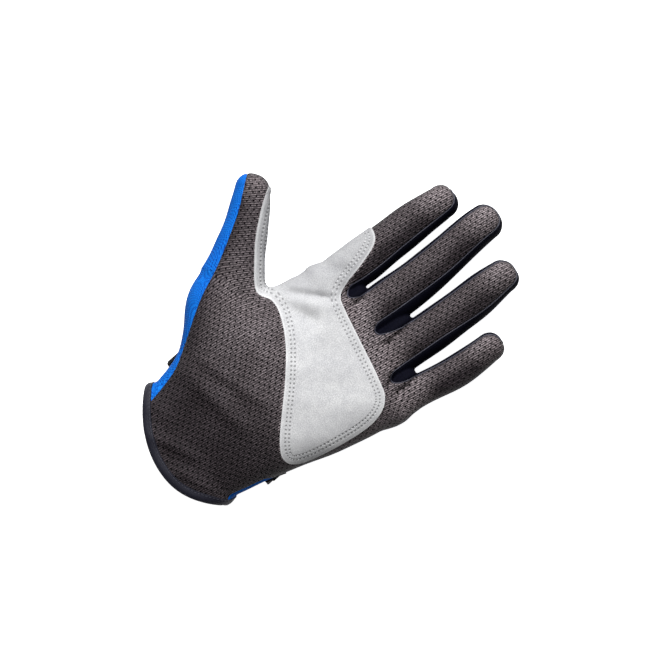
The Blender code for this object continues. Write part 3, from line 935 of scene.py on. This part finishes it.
class Look:
    """A procedural material under construction; each method returns an output socket."""

    def __init__(self, name, roughness, specular=0.5):
        self.material = bpy.data.materials.new(name)
        self.material.use_nodes = True
        self.tree = self.material.node_tree
        self.surface = self.tree.nodes["Principled BSDF"]
        self.surface.inputs["Roughness"].default_value = roughness
        self.surface.inputs["Specular IOR Level"].default_value = specular

    def feed(self, socket, value):
        if isinstance(value, bpy.types.NodeSocket):
            self.tree.links.new(value, socket)
        else:
            socket.default_value = value

    def node(self, kind, inputs, output=0, **settings):
        node = self.tree.nodes.new(f"ShaderNode{kind}")
        for key, value in settings.items():
            setattr(node, key, value)
        for key, value in inputs.items():
            self.feed(node.inputs[key], value)
        return node.outputs[output]

    def math(self, operation, *values):
        return self.node("Math", dict(enumerate(values)), operation=operation)

    def times(self, *values):
        return self.math("MULTIPLY", *values)

    def plus(self, *values):
        return self.math("ADD", *values)

    def minus(self, *values):
        return self.math("SUBTRACT", *values)

    def ribs(self, x, pitch):
        """A wave across the cloth, from -1 to 1."""
        return self.math("SINE", self.times(x, 2 * math.pi / pitch))

    def vector(self, operation, *values, output=0):
        return self.node("VectorMath", dict(enumerate(values)), output, operation=operation)

    def place(self, layer="cloth"):
        return self.node("UVMap", {}, uv_map=layer)

    def object_place(self):
        """The object's own coordinates, in metres."""
        return self.node("TexCoord", {}, 3)

    def noise(self, where, scale, detail=2.0, output=0):
        return self.node("TexNoise", {"Vector": where, "Scale": scale, "Detail": detail}, output)

    def ramp(self, value, start, end, low_value=0.0, high_value=1.0):
        inputs = {0: value, 1: start, 2: end, 3: low_value, 4: high_value}
        return self.node("MapRange", inputs, interpolation_type="SMOOTHSTEP")

    def mix(self, share, first, second, blend="MIX"):
        node = self.tree.nodes.new("ShaderNodeMix")
        node.data_type = "RGBA"
        node.blend_type = blend
        for socket, value in zip((node.inputs[0], node.inputs[6], node.inputs[7]), (share, first, second)):
            self.feed(socket, value)
        return node.outputs[2]

    def shade(self, value, dark, light):
        """A colour from dark to light, as value goes from 0 to 1."""
        return self.mix(value, (*dark, 1), (*light, 1))

    def tint(self, share, tone, colour):
        """The tone, multiplied by a colour as far as share says."""
        return self.mix(share, tone, self.mix(1.0, tone, (*colour, 1), "MULTIPLY"))

    def painted_edge_shade(self, tone, amount):
        """Painted shade: darker where the cloth turns away from the view, as its threads hide the light
        between them.
        """
        away = self.ramp(self.node("LayerWeight", {"Blend": 0.5}, 1), 0.15, 0.95)
        return self.mix(self.times(away, amount), tone, (0.002, 0.002, 0.003, 1))

    def finish(self, tone, height, depth, strength):
        """The finished material; depth is in millimetres, for a height of 1."""
        bump = self.node("Bump", {"Height": height, "Distance": depth * MM, "Strength": strength})
        self.feed(self.surface.inputs["Base Color"], tone)
        self.feed(self.surface.inputs["Normal"], bump)
        return self.material

    def to_lattice(self, where, pitch, shift):
        """Distance in millimetres to the nearest point of a lattice."""
        cell = self.vector("DIVIDE", where, (*pitch, 1))
        cell = self.vector("FRACTION", self.vector("ADD", cell, (shift, shift, 0)))
        cell = self.vector("MULTIPLY", self.vector("SUBTRACT", cell, (0.5, 0.5, 0)), (*pitch, 0))
        return self.vector("LENGTH", cell, output=1)

    def holes(self, where, pitch):
        """Distance to the nearest hole of a staggered pattern."""
        return self.math("MINIMUM", self.to_lattice(where, pitch, 0.0), self.to_lattice(where, pitch, 0.5))

    def wandering(self, amount, scale):
        """The cloth's own coordinates, in millimetres, a little uneven."""
        place = self.place()
        drift = self.vector("SUBTRACT", self.noise(place, scale, 1.0, 1), (0.5, 0.5, 0.5))
        return self.vector("ADD", place, self.vector("MULTIPLY", drift, (amount, amount, 0)))

    def split(self, where):
        node = self.tree.nodes.new("ShaderNodeSeparateXYZ")
        self.tree.links.new(where, node.inputs[0])
        return node.outputs[0], node.outputs[1]


MESH_PITCH = (4.75, 3.7)        # between holes across and along, with one more in the middle
RIB = MESH_PITCH[0] / 4
MESH_TURN = math.radians(6)     # the mesh's rows are a little askew


def mesh_look():
    """Warp-knitted mesh: fine ribs in short runs, with rows of small round holes."""
    look = Look("palm_mesh", 0.6)
    place = look.node("VectorRotate", {"Vector": look.wandering(0.7, 0.11), "Angle": MESH_TURN},
                      rotation_type="Z_AXIS")
    x, _ = look.split(place)
    hole = look.ramp(look.holes(place, MESH_PITCH), 0.61, 0.29)
    rib = look.ramp(look.ribs(x, RIB), -0.9, 0.9)
    runs = look.noise(look.vector("MULTIPLY", place, (1 / RIB, 0.75, 1)), 1.0, 0.0)
    runs = look.ramp(runs, 0.36, 0.62)
    fuzz = look.noise(place, 2.9, 1.0)
    height = look.times(rib, look.plus(look.times(runs, 0.65), 0.2))
    height = look.plus(height, look.times(fuzz, 1.05))
    height = look.times(height, look.minus(1.0, hole))
    # The tone follows the relief: near black down between the ribs and pale on their tops. This is painted
    # shade and a painted highlight over the yarn's own dark tone.
    tone = look.shade(look.ramp(height, 0.3, 1.4), (0.0065, 0.005, 0.006), (0.41, 0.353, 0.37))
    # Wear together with painted shade: where the edge layer's first number is low, as on the heel and the
    # fingers' far sides, the mesh is darkened.
    wear, _ = look.split(look.place("edge"))
    tone = look.mix(wear, look.mix(1.0, tone, (0.13, 0.115, 0.13, 1), "MULTIPLY"), tone)
    cloud = look.noise(place, 0.05, 3.0)
    tone = look.tint(look.ramp(cloud, 0.3, 0.7), tone, (0.72, 0.7, 0.7))
    # Painted shade: the holes are darkened to near black.
    tone = look.mix(hole, tone, (0.0022, 0.002, 0.0024, 1))
    shine = look.times(look.minus(1.0, hole), 0.14)
    look.feed(look.surface.inputs["Specular IOR Level"], shine)
    return look.finish(look.painted_edge_shade(tone, 0.8), height, 0.35, 0.8)


def knit_look():
    """Bright knit with a fine, open honeycomb."""
    look = Look("back_knit", 0.7, 0.05)
    place = look.wandering(0.3, 0.2)
    hole = look.ramp(look.holes(place, (1.9, 1.5)), 0.46, 0.16)
    fuzz = look.noise(place, 3.0, 2.0)
    cloud = look.noise(place, 0.06, 2.0)
    height = look.minus(look.times(fuzz, 0.4), hole)
    tone = look.shade(look.ramp(fuzz, 0.3, 0.75), (0.0003, 0.085, 0.41), (0.012, 0.225, 0.8))
    tone = look.tint(look.ramp(cloud, 0.35, 0.7), tone, (0.8, 0.82, 0.88))
    # Painted shade: the honeycomb's openings are darkened.
    tone = look.mix(look.times(hole, 0.75), tone, (0.001, 0.028, 0.26, 1))
    return look.finish(tone, height, 0.25, 0.7)


def gusset_look():
    """Smooth near-black stretch cloth with a very fine rib."""
    look = Look("gusset_fabric", 0.75, 0.04)
    place = look.place()
    x, _ = look.split(place)
    rib = look.ribs(x, 0.6)
    fuzz = look.noise(place, 1.6, 3.0)
    tone = look.shade(look.ramp(fuzz, 0.3, 0.75), (0.0011, 0.0011, 0.003), (0.0032, 0.0034, 0.0095))
    return look.finish(tone, look.plus(look.times(rib, 0.3), fuzz), 0.12, 0.6)


def suede_look():
    """Pale synthetic suede: short nap, soft mottling, and needle holes along its sewn edge."""
    look = Look("suede", 0.93, 0.25)
    place = look.place()
    nap = look.noise(place, 1.5, 4.0)
    mottle = look.noise(place, 0.22, 3.0)
    cloud = look.noise(place, 0.045, 2.0)
    tone = look.shade(look.ramp(nap, 0.28, 0.72), (0.446, 0.448, 0.452), (0.667, 0.669, 0.673))
    tone = look.tint(look.ramp(mottle, 0.35, 0.7), tone, (0.9, 0.9, 0.91))
    tone = look.tint(look.ramp(cloud, 0.3, 0.7), tone, (0.93, 0.93, 0.94))
    x, y = look.split(place)
    # Painted shade: darker towards the thumb's web and up the index finger, toning down the slopes that
    # face the key light.
    webwards = look.minus(y, look.times(x, 0.6))
    for start, end in ((-45.0, 25.0), (4.0, 32.0)):
        tone = look.tint(look.ramp(webwards, start, end), tone, (0.8, 0.8, 0.805))
    along, inwards = look.split(look.place("edge"))
    channel, holes = 0.0, 0.0
    for row in STITCH_ROWS:
        off = look.math("ABSOLUTE", look.minus(inwards, row))
        channel = look.math("MAXIMUM", look.ramp(off, 0.85, 0.0), channel)
        step = look.minus(look.math("FRACT", look.math("DIVIDE", along, STITCH)), 0.5)
        reach = look.times(look.math("ABSOLUTE", step), STITCH)
        hole = look.ramp(look.math("SQRT", look.plus(look.math("POWER", off, 2.0),
                                                     look.math("POWER", reach, 2.0))), 0.7, 0.25)
        holes = look.math("MAXIMUM", hole, holes)
    rim = look.ramp(inwards, 1.3, 0.3)
    tone = look.mix(look.times(rim, 0.3), tone, (0.78, 0.785, 0.79, 1))
    # Painted shade: darker along the stitch rows' grooves, and darker still in the needle holes.
    tone = look.mix(look.times(channel, 0.25), tone, (0.45, 0.455, 0.46, 1))
    tone = look.mix(look.times(holes, 0.75), tone, (0.16, 0.16, 0.165, 1))
    height = look.minus(look.times(nap, 0.45), look.times(channel, 0.45))
    return look.finish(tone, look.minus(height, holes), 0.3, 0.7)


def thread_look(name, dark, light):
    """Twisted sewing thread."""
    look = Look(name, 0.6)
    place = look.object_place()
    twist = look.noise(place, 2600.0, 1.0)
    return look.finish(look.shade(twist, dark, light), twist, 0.08, 0.6)


def binding_look():
    """Folded elastic tape with fine ribs across it."""
    look = Look("binding", 0.6, 0.2)
    place = look.place()
    x, _ = look.split(place)
    rib = look.ribs(x, 0.7)
    fuzz = look.noise(place, 1.8, 3.0)
    height = look.plus(look.times(rib, 0.4), fuzz)
    tone = look.shade(look.ramp(height, -0.1, 1.0), (0.0025, 0.0025, 0.006), (0.011, 0.011, 0.022))
    return look.finish(tone, height, 0.14, 0.7)


def hook_look():
    """Hook and loop tape: a dense, shaggy pile."""
    look = Look("hook_and_loop", 0.8)
    place = look.object_place()
    pile = look.noise(place, 1500.0, 2.0)
    cell = look.node("TexVoronoi", {"Vector": place, "Scale": 900.0})
    height = look.minus(pile, cell)
    tone = look.shade(look.ramp(height, -0.5, 0.6), (0.004, 0.004, 0.005), (0.035, 0.035, 0.038))
    return look.finish(tone, height, 0.3, 0.9)


def rubber_look():
    """Moulded tab, with a matt grain and worn high spots."""
    look = Look("tab_rubber", 0.5, 0.2)
    place = look.object_place()
    grain = look.noise(place, 1800.0, 3.0)
    wear = look.noise(place, 160.0, 3.0)
    tone = look.shade(look.ramp(wear, 0.4, 0.75), (0.005, 0.005, 0.006), (0.014, 0.014, 0.016))
    look.feed(look.surface.inputs["Roughness"], look.ramp(wear, 0.3, 0.7, 0.42, 0.6))
    return look.finish(tone, grain, 0.06, 0.5)


# ---- the glove ----------------------------------------------------------------------------------------


def bend(thing, place):
    """Puts a piece on the hand on the hand's body; any other piece only has its transform baked into its
    mesh.
    """
    if place == "hand":
        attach(thing, "hand")
        return
    digit = digits[place.split("_")[0]]
    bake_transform(thing)


SUEDE_THREAD = (1.7, 0.28)      # a stitch's length and radius: in the suede, the cuff's tape, the strap
TAPE_THREAD = (1.6, 0.22)
STRAP_THREAD = (1.5, 0.16)
STITCH_POINTS = 5       # along a stitch's thread, and sides round it
STITCH_ARCH = 3.2       # its ends dip by a quarter of this many radii
STITCH_SINK = 0.12      # how deep a stitch's middle lies in the suede
STITCH_CLEAR = 2.0      # how far the suede's stitches keep from the back panel's seam
STITCH_SLOPE = 0.25     # and they end where its normal's Z is less
PIPING_RADIUS = 0.42
PIPING_RISE = 0.12
FEWEST = 12             # fewer triangles than this aren't a piece
DROP_HEIGHTS = (15.0, 42.0)     # the palm's surface is between these
HALVINGS = 24


def drop(xy):
    """Where points straight above the palm meet the skin."""
    low_z, high_z = (np.full(len(xy), height) for height in DROP_HEIGHTS)
    for _ in range(HALVINGS):
        middle = (low_z + high_z) / 2
        outside = skin(np.column_stack((xy, middle))) > 0
        low_z, high_z = np.where(outside, low_z, middle), np.where(outside, middle, high_z)
    return np.column_stack((xy, low_z))


def suede_stitches():
    """Both rows of stitches along the suede's sewn edge: middle points, normals and directions."""
    at = np.arange(STITCH, run_along(SUEDE_EDGE)[-1], STITCH)
    point = point_at(SUEDE_EDGE, at)
    ahead = unit(point_at(SUEDE_EDGE, at + 0.5) - point)
    found = []
    for row in STITCH_ROWS:
        side = np.stack((-ahead[:, 1], ahead[:, 0]), 1) * row
        for sign in (-1, 1):
            spot = point + sign * side
            kept = suede_seam(spot) > row - 0.12
            spot = drop(spot[kept])
            n = gradient(spot)
            sewn = (np.abs(skin(spot)) < 0.1) & (back_seam(spot) > STITCH_CLEAR) & (n[:, 2] > STITCH_SLOPE)
            d = np.column_stack((ahead[kept], np.zeros(kept.sum())))
            d = d - n * (n * d).sum(1)[:, None]
            found.append(np.stack((spot + n * (SUEDE_LIFT - STITCH_SINK), n, d), 1)[sewn])
    return np.concatenate(found)


def add_stitches(piece, stitches, length, radius, material):
    for middle, normal, ahead in stitches:
        share = np.linspace(-0.5, 0.5, STITCH_POINTS)[:, None]
        line = middle + ahead * length * share - normal * (radius * STITCH_ARCH * share**2)
        tube(piece, line, np.tile(normal, (STITCH_POINTS, 1)), radius, material, STITCH_POINTS, 0.8)


def wear_and_light_of(p):
    """How far rubbing and painted light pale the mesh: most at the thumb's ball, the finger roots and the
    tips, where the tips' pallor is a painted highlight; painted shade darkens each finger's far side and
    the heel.
    """
    x, y, _ = p.T

    def outwards(digit):
        s, a, _ = digit.local(p)
        middle, wide, _, _ = digit.section(s)
        return (a - middle) / wide

    in_finger, in_thumb = shares(p)
    # Painted highlight: the mesh is made paler towards each fingertip.
    tip = smooth_step(28, 5, per_finger(p, lambda digit: digit.tip - digit.local(p)[0]))
    # Painted shade: each finger's side away from the light is made darker, from a little past its root.
    side = smooth_step(-0.5, 0.75, per_finger(p, outwards)) * smooth_step(17, 36, y)
    # Lower towards the heel, a painted shade where the heel turns away from the light, and lower near the
    # seam on the thumb's side.
    palm = smooth_step(-84, -22, y - 0.15 * x) * smooth_step(-2, 16, thumb_seam(p) + 6 * in_thumb)
    worn = 0.03 + 0.56 * palm
    worn = worn + 0.3 * smooth_step(2, 16, y) * smooth_step(-30, -10, x)
    # On the thumb: darker along most of its length, and paler at its tip, a painted highlight.
    to_tip = digits["thumb"].tip - digits["thumb"].local(p)[0]
    worn = worn + in_thumb * (0.5 * smooth_step(20, 4, to_tip) - 0.24 * smooth_step(62, 42, to_tip))
    worn = worn - 0.55 * smooth_step(24, 40, y) * in_finger + 0.6 * tip - 0.6 * side * (1 - 0.35 * tip)
    return np.clip(worn, 0, 1)


def marks_of(verts, suede):
    """Two numbers at each vertex: the mesh's wear with its painted light and shade, and 0, or on the suede,
    the length along its sewn edge and the distance from it."""
    marks = np.zeros((len(verts), 2))
    marks[:, 0] = wear_and_light_of(verts)
    inwards, run, _ = nearest(verts[suede, :2], SUEDE_EDGE)
    marks[suede] = np.stack((run, inwards), 1)
    return marks


def add_piping(piece, verts, edges):
    """A raised cord along a seam."""
    for line in chains(edges):
        if len(line) > 4:
            points = resample(verts[line], 1.0)
            n = gradient(points)
            tube(piece, points + n * PIPING_RISE, n, PIPING_RADIUS, 1)


def build_glove(looks, threads):
    verts, tris = surface_net()
    verts = relax(to_surface(verts), tris, 2)
    verts, tris, kind, place = sew(verts, tris)
    facing = gradient(verts)
    plain = verts
    verts = sink_seams(verts, facing)
    normals = vertex_normals(verts, tris)
    marks = marks_of(verts, np.unique(tris[kind == SUEDE]))
    suede_lift = SUEDE_LIFT * smooth_step(*SUEDE_RISE, marks[:, 1])
    stitches = suede_stitches()
    stitch_place = places(stitches[:, 0])
    pieces = {}
    for k, kind_name in enumerate(KINDS):
        uvs = cloth_place(plain, facing, k == KNIT)
        for where, place_name in enumerate(PLACES):
            chosen = (kind == k) & (place == where)
            if chosen.sum() < FEWEST:
                continue
            piece = Piece(f"{kind_name}_{place_name}")
            lift = suede_lift if k == SUEDE else np.zeros(len(verts))
            cloth(piece, verts, tris[chosen], normals, lift, FABRIC, uvs, marks)
            if k == SUEDE:
                add_stitches(piece, stitches[stitch_place == where], *SUEDE_THREAD, 1)
            if k == GUSSET:
                add_piping(piece, verts, borders(tris, chosen, (kind == MESH) & (place == where)))
            thing = piece.build(looks[k], threads[k])
            bend(thing, place_name)
            pieces[thing.name] = thing
    return pieces, verts, tris


def add_grid(piece, points, material, uvs, loop, n=None):
    """A closed tube through rings of points, or with loop, a ring; n holds the normals."""
    rings, sides = points.shape[:2]
    i, j = np.meshgrid(np.arange(rings if loop else rings - 1), np.arange(sides), indexing="ij")
    i2, j2 = (i + 1) % rings, (j + 1) % sides
    quads = np.stack([x.ravel() for x in (i * sides + j, i2 * sides + j, i2 * sides + j2,
                                          i * sides + j2)], 1)
    verts = points.reshape(-1, 3)
    if n is None:
        n = vertex_normals(verts, np.concatenate((quads[:, :3], quads[:, (0, 2, 3)])))
    first = piece.count
    piece.add(verts, quads, n, material, uvs.reshape(-1, 2))
    if not loop:
        for ring, inner, order in ((0, 1, slice(None)), (rings - 1, rings - 2, slice(None, None, -1))):
            out = unit(points[ring].mean(0) - points[inner].mean(0))
            corners = first + ring * sides + np.arange(sides)[order]
            piece.add_faces(corners[None], np.tile(out, (sides, 1)), material, uvs[ring, order],
                            np.zeros((sides, 2)))


def facing_out(points, material, uvs):
    """Rings of points turned round where needed, so that the faces between them look outwards."""
    first, second = points[0], points[1]
    outwards = np.cross(second - first, np.roll(first, -1, 0) - first)
    if (outwards * (first - first.mean(0))).sum() < 0:
        return points, material, uvs
    return points[:, ::-1], material, uvs[:, ::-1]


# The binding's folded section: how far out from the cloth's edge, and how far above its outer face.
TAPE_SECTION = ((-4.2, -0.05), (-4.1, 0.42), (-3.7, 0.62), (-3.1, 0.4), (-2.6, 0.68), (-1.4, 0.8),
                (0.0, 0.75), (0.75, 0.3), (0.95, -0.5), (0.75, -1.3), (0.0, -1.75), (-1.5, -1.85),
                (-3.8, -1.75), (-4.2, -1.5), (-4.1, -1.1), (-0.5, -1.05), (-0.25, -0.5), (-0.5, 0.02))
TAPE_STITCH_ROW = 3.15      # in from the cloth's edge, and above its face
TAPE_STITCH_RISE = 0.45
TAPE_STEP = 1.1             # from one ring of the tape's mesh to the next


def build_binding(verts, tris, look, thread):
    """Tape folded over the raw edge of the cuff, with its row of stitches."""
    found, uses = np.unique(edges_of(tris), axis=0, return_counts=True)
    line = max(chains(found[uses == 1]), key=len)
    edge = resample(verts[line[:-1]], TAPE_STEP, closed=True)
    n = gradient(edge)
    out = unit(np.cross(np.roll(edge, -1, 0) - np.roll(edge, 1, 0), n))
    if (cuff(edge + out) - cuff(edge)).mean() > 0:
        edge, out = edge[::-1], -out[::-1]
    rings = []
    for outwards, above in TAPE_SECTION:
        spot = edge + out * outwards
        if outwards < 0:
            spot = to_surface(spot, 2)
        rings.append(spot + gradient(spot) * above)
    points = np.stack(rings, 1)
    run = np.cumsum(np.linalg.norm(edge - np.roll(edge, 1, 0), axis=1))
    across = np.cumsum([0] + [math.dist(a, b) for a, b in zip(TAPE_SECTION, TAPE_SECTION[1:])])
    uvs = np.stack(np.meshgrid(run, across, indexing="ij"), 2)
    piece = Piece("cuff_tape")
    add_grid(piece, *facing_out(points, 0, uvs), True)
    row = to_surface(edge - out * TAPE_STITCH_ROW, 2)
    up = gradient(row)[:-1:2]
    start, end = row[:-1:2], row[1::2]
    middle = (start + end) / 2 + up * TAPE_STITCH_RISE
    add_stitches(piece, zip(middle, up, unit(end - start)), *TAPE_THREAD, 1)
    thing = piece.build(look, thread)
    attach(thing, "hand")
    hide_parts("cuff_binding")


STRIP_END = (1.6, 1.3)      # length of a strip's rounded end, and how far its sides come in there
STRIP_BEVEL = 0.5           # length over which it thins out at the very end
STRIP_POWERS = (0.12, 0.5)  # squareness of its section, across and through: 1 is an ellipse


def strip(piece, line, across, half_width, half_thick, material, up=((0.0, 0.0, 1.0),), sides=28):
    """A flat strip with rounded edges and ends, along a line of points; up is its thin direction."""
    angle = 2 * np.pi * np.arange(sides) / sides
    run = run_along(line)
    end = np.minimum(run, run[-1] - run)
    squeeze = np.clip(end / STRIP_BEVEL, 0.02, 1) ** 0.5
    half_thick = np.broadcast_to(half_thick, len(line)) * squeeze
    half_width = np.broadcast_to(half_width, len(line))
    up = np.broadcast_to(up, line.shape)
    corner = STRIP_END[1] * np.clip(1 - end / STRIP_END[0], 0, 1) ** 2
    width = half_width - STRIP_BEVEL * (1 - squeeze) - corner
    c, s = np.cos(angle), np.sin(angle)
    u, v = (np.sign(w) * np.abs(w) ** power for w, power in zip((c, s), STRIP_POWERS))
    points = (line[:, None] + u[:, None] * across * width[:, None, None]
              + v[:, None] * up[:, None] * half_thick[:, None, None])
    uvs = np.stack(np.broadcast_arrays(run[:, None], u * half_width[:, None]), 2)
    add_grid(piece, *facing_out(points, material, uvs), False)


# The fold of tape from the strap's pad on the glove, past the hinge, to the strap: how far out from the
# hinge, and height.
STRAP_FOLD = ((0.35, 11.4), (0.3, 9.8), (-0.3, 8.2), (-0.8, 6.6), (-0.9, 5.0), (-0.45, 3.6), (0.05, 2.7),
              (-0.1, 1.95), (-1.0, 1.66), (-2.6, 1.62), (-4.8, 1.62))
FOLD_PAD = 4.3          # half width where it is sewn to the glove
FOLD_WIDENS = (3.5, 9.5)    # heights between which it widens, downwards, to the strap's width
FOLD_THICK = 0.28       # half its thickness


def build_fold(across, along, half_width, tape, thread):
    """The sewn end of the wrist strap, which bends where the strap opens."""
    hinge = joint_at("strap_opening") * (1, 1, 0)
    path = smooth_curve(STRAP_FOLD, 0.3)
    line = hinge - along * path[:, :1] + np.array((0, 0, 1.0)) * path[:, 1:]
    up = np.cross(unit(np.gradient(line, axis=0)), across)
    half = half_width - (half_width - FOLD_PAD) * smooth_step(*FOLD_WIDENS, path[:, 1])
    piece = Piece("strap_fold")
    strip(piece, line, across, half, FOLD_THICK, 0, up)
    thing = piece.build(tape, thread)
    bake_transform(thing)


STRAP_ROW = (1.2, 2.5, 1.5)     # its stitches start this far from its side and its ends
TAB_RIBS = (1.5, 0.2)       # from one rib of the pull tab to the next, and depth as a share of thickness


def build_strap(hook, rubber, tape, thread):
    """The wrist strap with its hook patch and ribbed pull tab, and the pads that it joins."""
    across = unit(np.array((*JOINTS["strap_opening"]["axis"][:2], 0)))
    along = np.array((across[1], -across[0], 0))
    along = -along if along[0] > 0 else along
    for node, look, slot_name, step in (("wrist_strap", tape, "hook_and_loop", 0.6),
                                        ("hook_patch", hook, "hook_and_loop", 0.6),
                                        ("pull_tab", rubber, "tab_rubber", 0.3)):
        points = np.array([v.co for v in frame["nodes"][node].data.vertices]) / MM
        centre = (points.min(0) + points.max(0)) / 2
        length, width, thick = np.ptp(points @ along), np.ptp(points @ across), np.ptp(points[:, 2])
        s = np.linspace(-length / 2, length / 2, int(length / step))
        ends = length / 2 - np.array((0.0, 0.05, 0.15, 0.3, 0.5))
        s = np.unique(np.concatenate((s, ends, -ends)))
        line = centre + along * s[:, None]
        half = np.full(len(s), thick / 2)
        if node == "pull_tab":
            wave = np.cos(s * 2 * np.pi / TAB_RIBS[0]) * (np.abs(s) < length / 2 - 1)
            half = half * (1 - TAB_RIBS[1] + TAB_RIBS[1] * wave)
        piece = Piece(f"visual_{node}")
        strip(piece, line, across, width / 2, half, 0)
        if node == "wrist_strap":
            build_fold(across, along, width / 2 - 0.1, tape, thread)
            for aside, face in ((-1, -1), (-1, 1), (1, -1), (1, 1)):
                up = np.array((0, 0, float(face)))
                row = centre + across * aside * (width / 2 - STRAP_ROW[0]) + up * (thick / 2 - 0.02)
                spots = np.arange(-length / 2 + STRAP_ROW[1], length / 2 - STRAP_ROW[2], STITCH)
                stitches = [(row + along * spot, up, along) for spot in spots]
                add_stitches(piece, stitches, *STRAP_THREAD, 1)
        thing = piece.build(look, thread)
        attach(thing, "strap")
        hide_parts(node)


# CAD nodes that each panel stands for, by the end of their names, besides the hand's own.
STANDS_FOR = {"mesh": ("palm_panel",), "knit": ("back_panel",), "suede": ("suede_strip",),
              "gusset": ("outer_gusset", "inner_gusset")}
HAND_NODES = {"mesh_hand": ("palm_panel",), "knit_hand": ("back_panel",),
              "suede_hand": ("palm_suede_patch",), "suede_index_base": ("index_suede_patch",),
              "gusset_hand": ("index_middle_web", "middle_ring_web")}


def replace_nodes(pieces):
    for name, thing in pieces.items():
        kind, place = name.split("_", 1)
        nodes = HAND_NODES.get(name, ())
        if place != "hand":
            named = (f"{place}_{end}" for end in STANDS_FOR[kind])
            nodes += tuple(node for node in named if node in frame["nodes"])
        if nodes:
            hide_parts(*nodes)


# ---- stage --------------------------------------------------------------------------------------------

VIEW_RIGHT = Vector((0.588, 0.809, 0)).normalized()     # what lies to the right in the picture
VIEW_CENTRE = Vector((0.0103, 0.0048, 0.015))
VIEW_DISTANCE = 1.34    # of the camera above the centre
VIEW_LENS = 135
FLOOR_GLOW = 0.9
FLOOR_GAP = 0.0006      # metres between the glove and the floor, so that they do not touch


def build_stage():
    bpy.ops.mesh.primitive_plane_add(size=12)
    floor = bpy.context.object
    floor.name = "floor"
    look = Look("floor", 0.9)
    cloud = look.noise(look.object_place(), 4.0, 2.0)
    look.feed(look.surface.inputs["Base Color"], look.shade(cloud, (0.9, 0.9, 0.9), (0.92, 0.92, 0.92)))
    look.surface.inputs["Emission Color"].default_value = (1, 1, 1, 1)
    look.surface.inputs["Emission Strength"].default_value = FLOOR_GLOW
    floor.data.materials.append(look.material)
    floor.location.z = -FLOOR_GAP
    floor.visible_diffuse = False
    world = bpy.data.worlds.new("world")
    world.use_nodes = True
    world.node_tree.nodes["Background"].inputs["Color"].default_value = (1, 1, 1, 1)
    world.node_tree.nodes["Background"].inputs["Strength"].default_value = 0.1
    bpy.context.scene.world = world
    right, up = VIEW_RIGHT, Vector((0, 0, 1)).cross(VIEW_RIGHT)
    for name, place, size, energy in (("key", 0.1 * right + 1.15 * up + Vector((0, 0, 0.95)), 0.8, 40.0),
                                      ("top", -0.1 * right + 0.1 * up + Vector((0, 0, 1.6)), 1.2, 7.0)):
        light = bpy.data.lights.new(name, "AREA")
        light.energy = energy
        light.size = size
        lamp = bpy.data.objects.new(name, light)
        lamp.location = place
        lamp.rotation_euler = (VIEW_CENTRE - place).to_track_quat("-Z", "Y").to_euler()
        bpy.context.scene.collection.objects.link(lamp)


def build_camera():
    data = bpy.data.cameras.new("camera")
    data.lens = VIEW_LENS
    camera = bpy.data.objects.new("camera", data)
    bpy.context.scene.collection.objects.link(camera)
    back = Vector((0, 0, 1))
    turn = Matrix((VIEW_RIGHT, back.cross(VIEW_RIGHT), back)).transposed()
    camera.matrix_world = Matrix.Translation(VIEW_CENTRE + back * VIEW_DISTANCE) @ turn.to_4x4()
    bpy.context.scene.camera = camera
    bpy.context.scene.view_settings.view_transform = "Standard"


def main():
    looks = [mesh_look(), knit_look(), gusset_look(), suede_look()]
    dark = thread_look("dark_thread", (0.008, 0.008, 0.014), (0.045, 0.045, 0.068))
    pale = thread_look("pale_thread", (0.42, 0.42, 0.43), (0.72, 0.72, 0.73))
    tape = binding_look()
    cord = thread_look("piping", (0.01, 0.01, 0.017), (0.04, 0.04, 0.066))
    pieces, verts, tris = build_glove(looks, [dark, dark, cord, pale])
    replace_nodes(pieces)
    build_binding(verts, tris, tape, dark)
    hook = hook_look()
    build_strap(hook, rubber_look(), tape, dark)
    for node in ("strap_anchor", "wrist_loop_patch"):
        thing = frame["nodes"][node]
        thing.data.materials.clear()
        thing.data.materials.append(hook)
    build_stage()
    build_camera()


main()
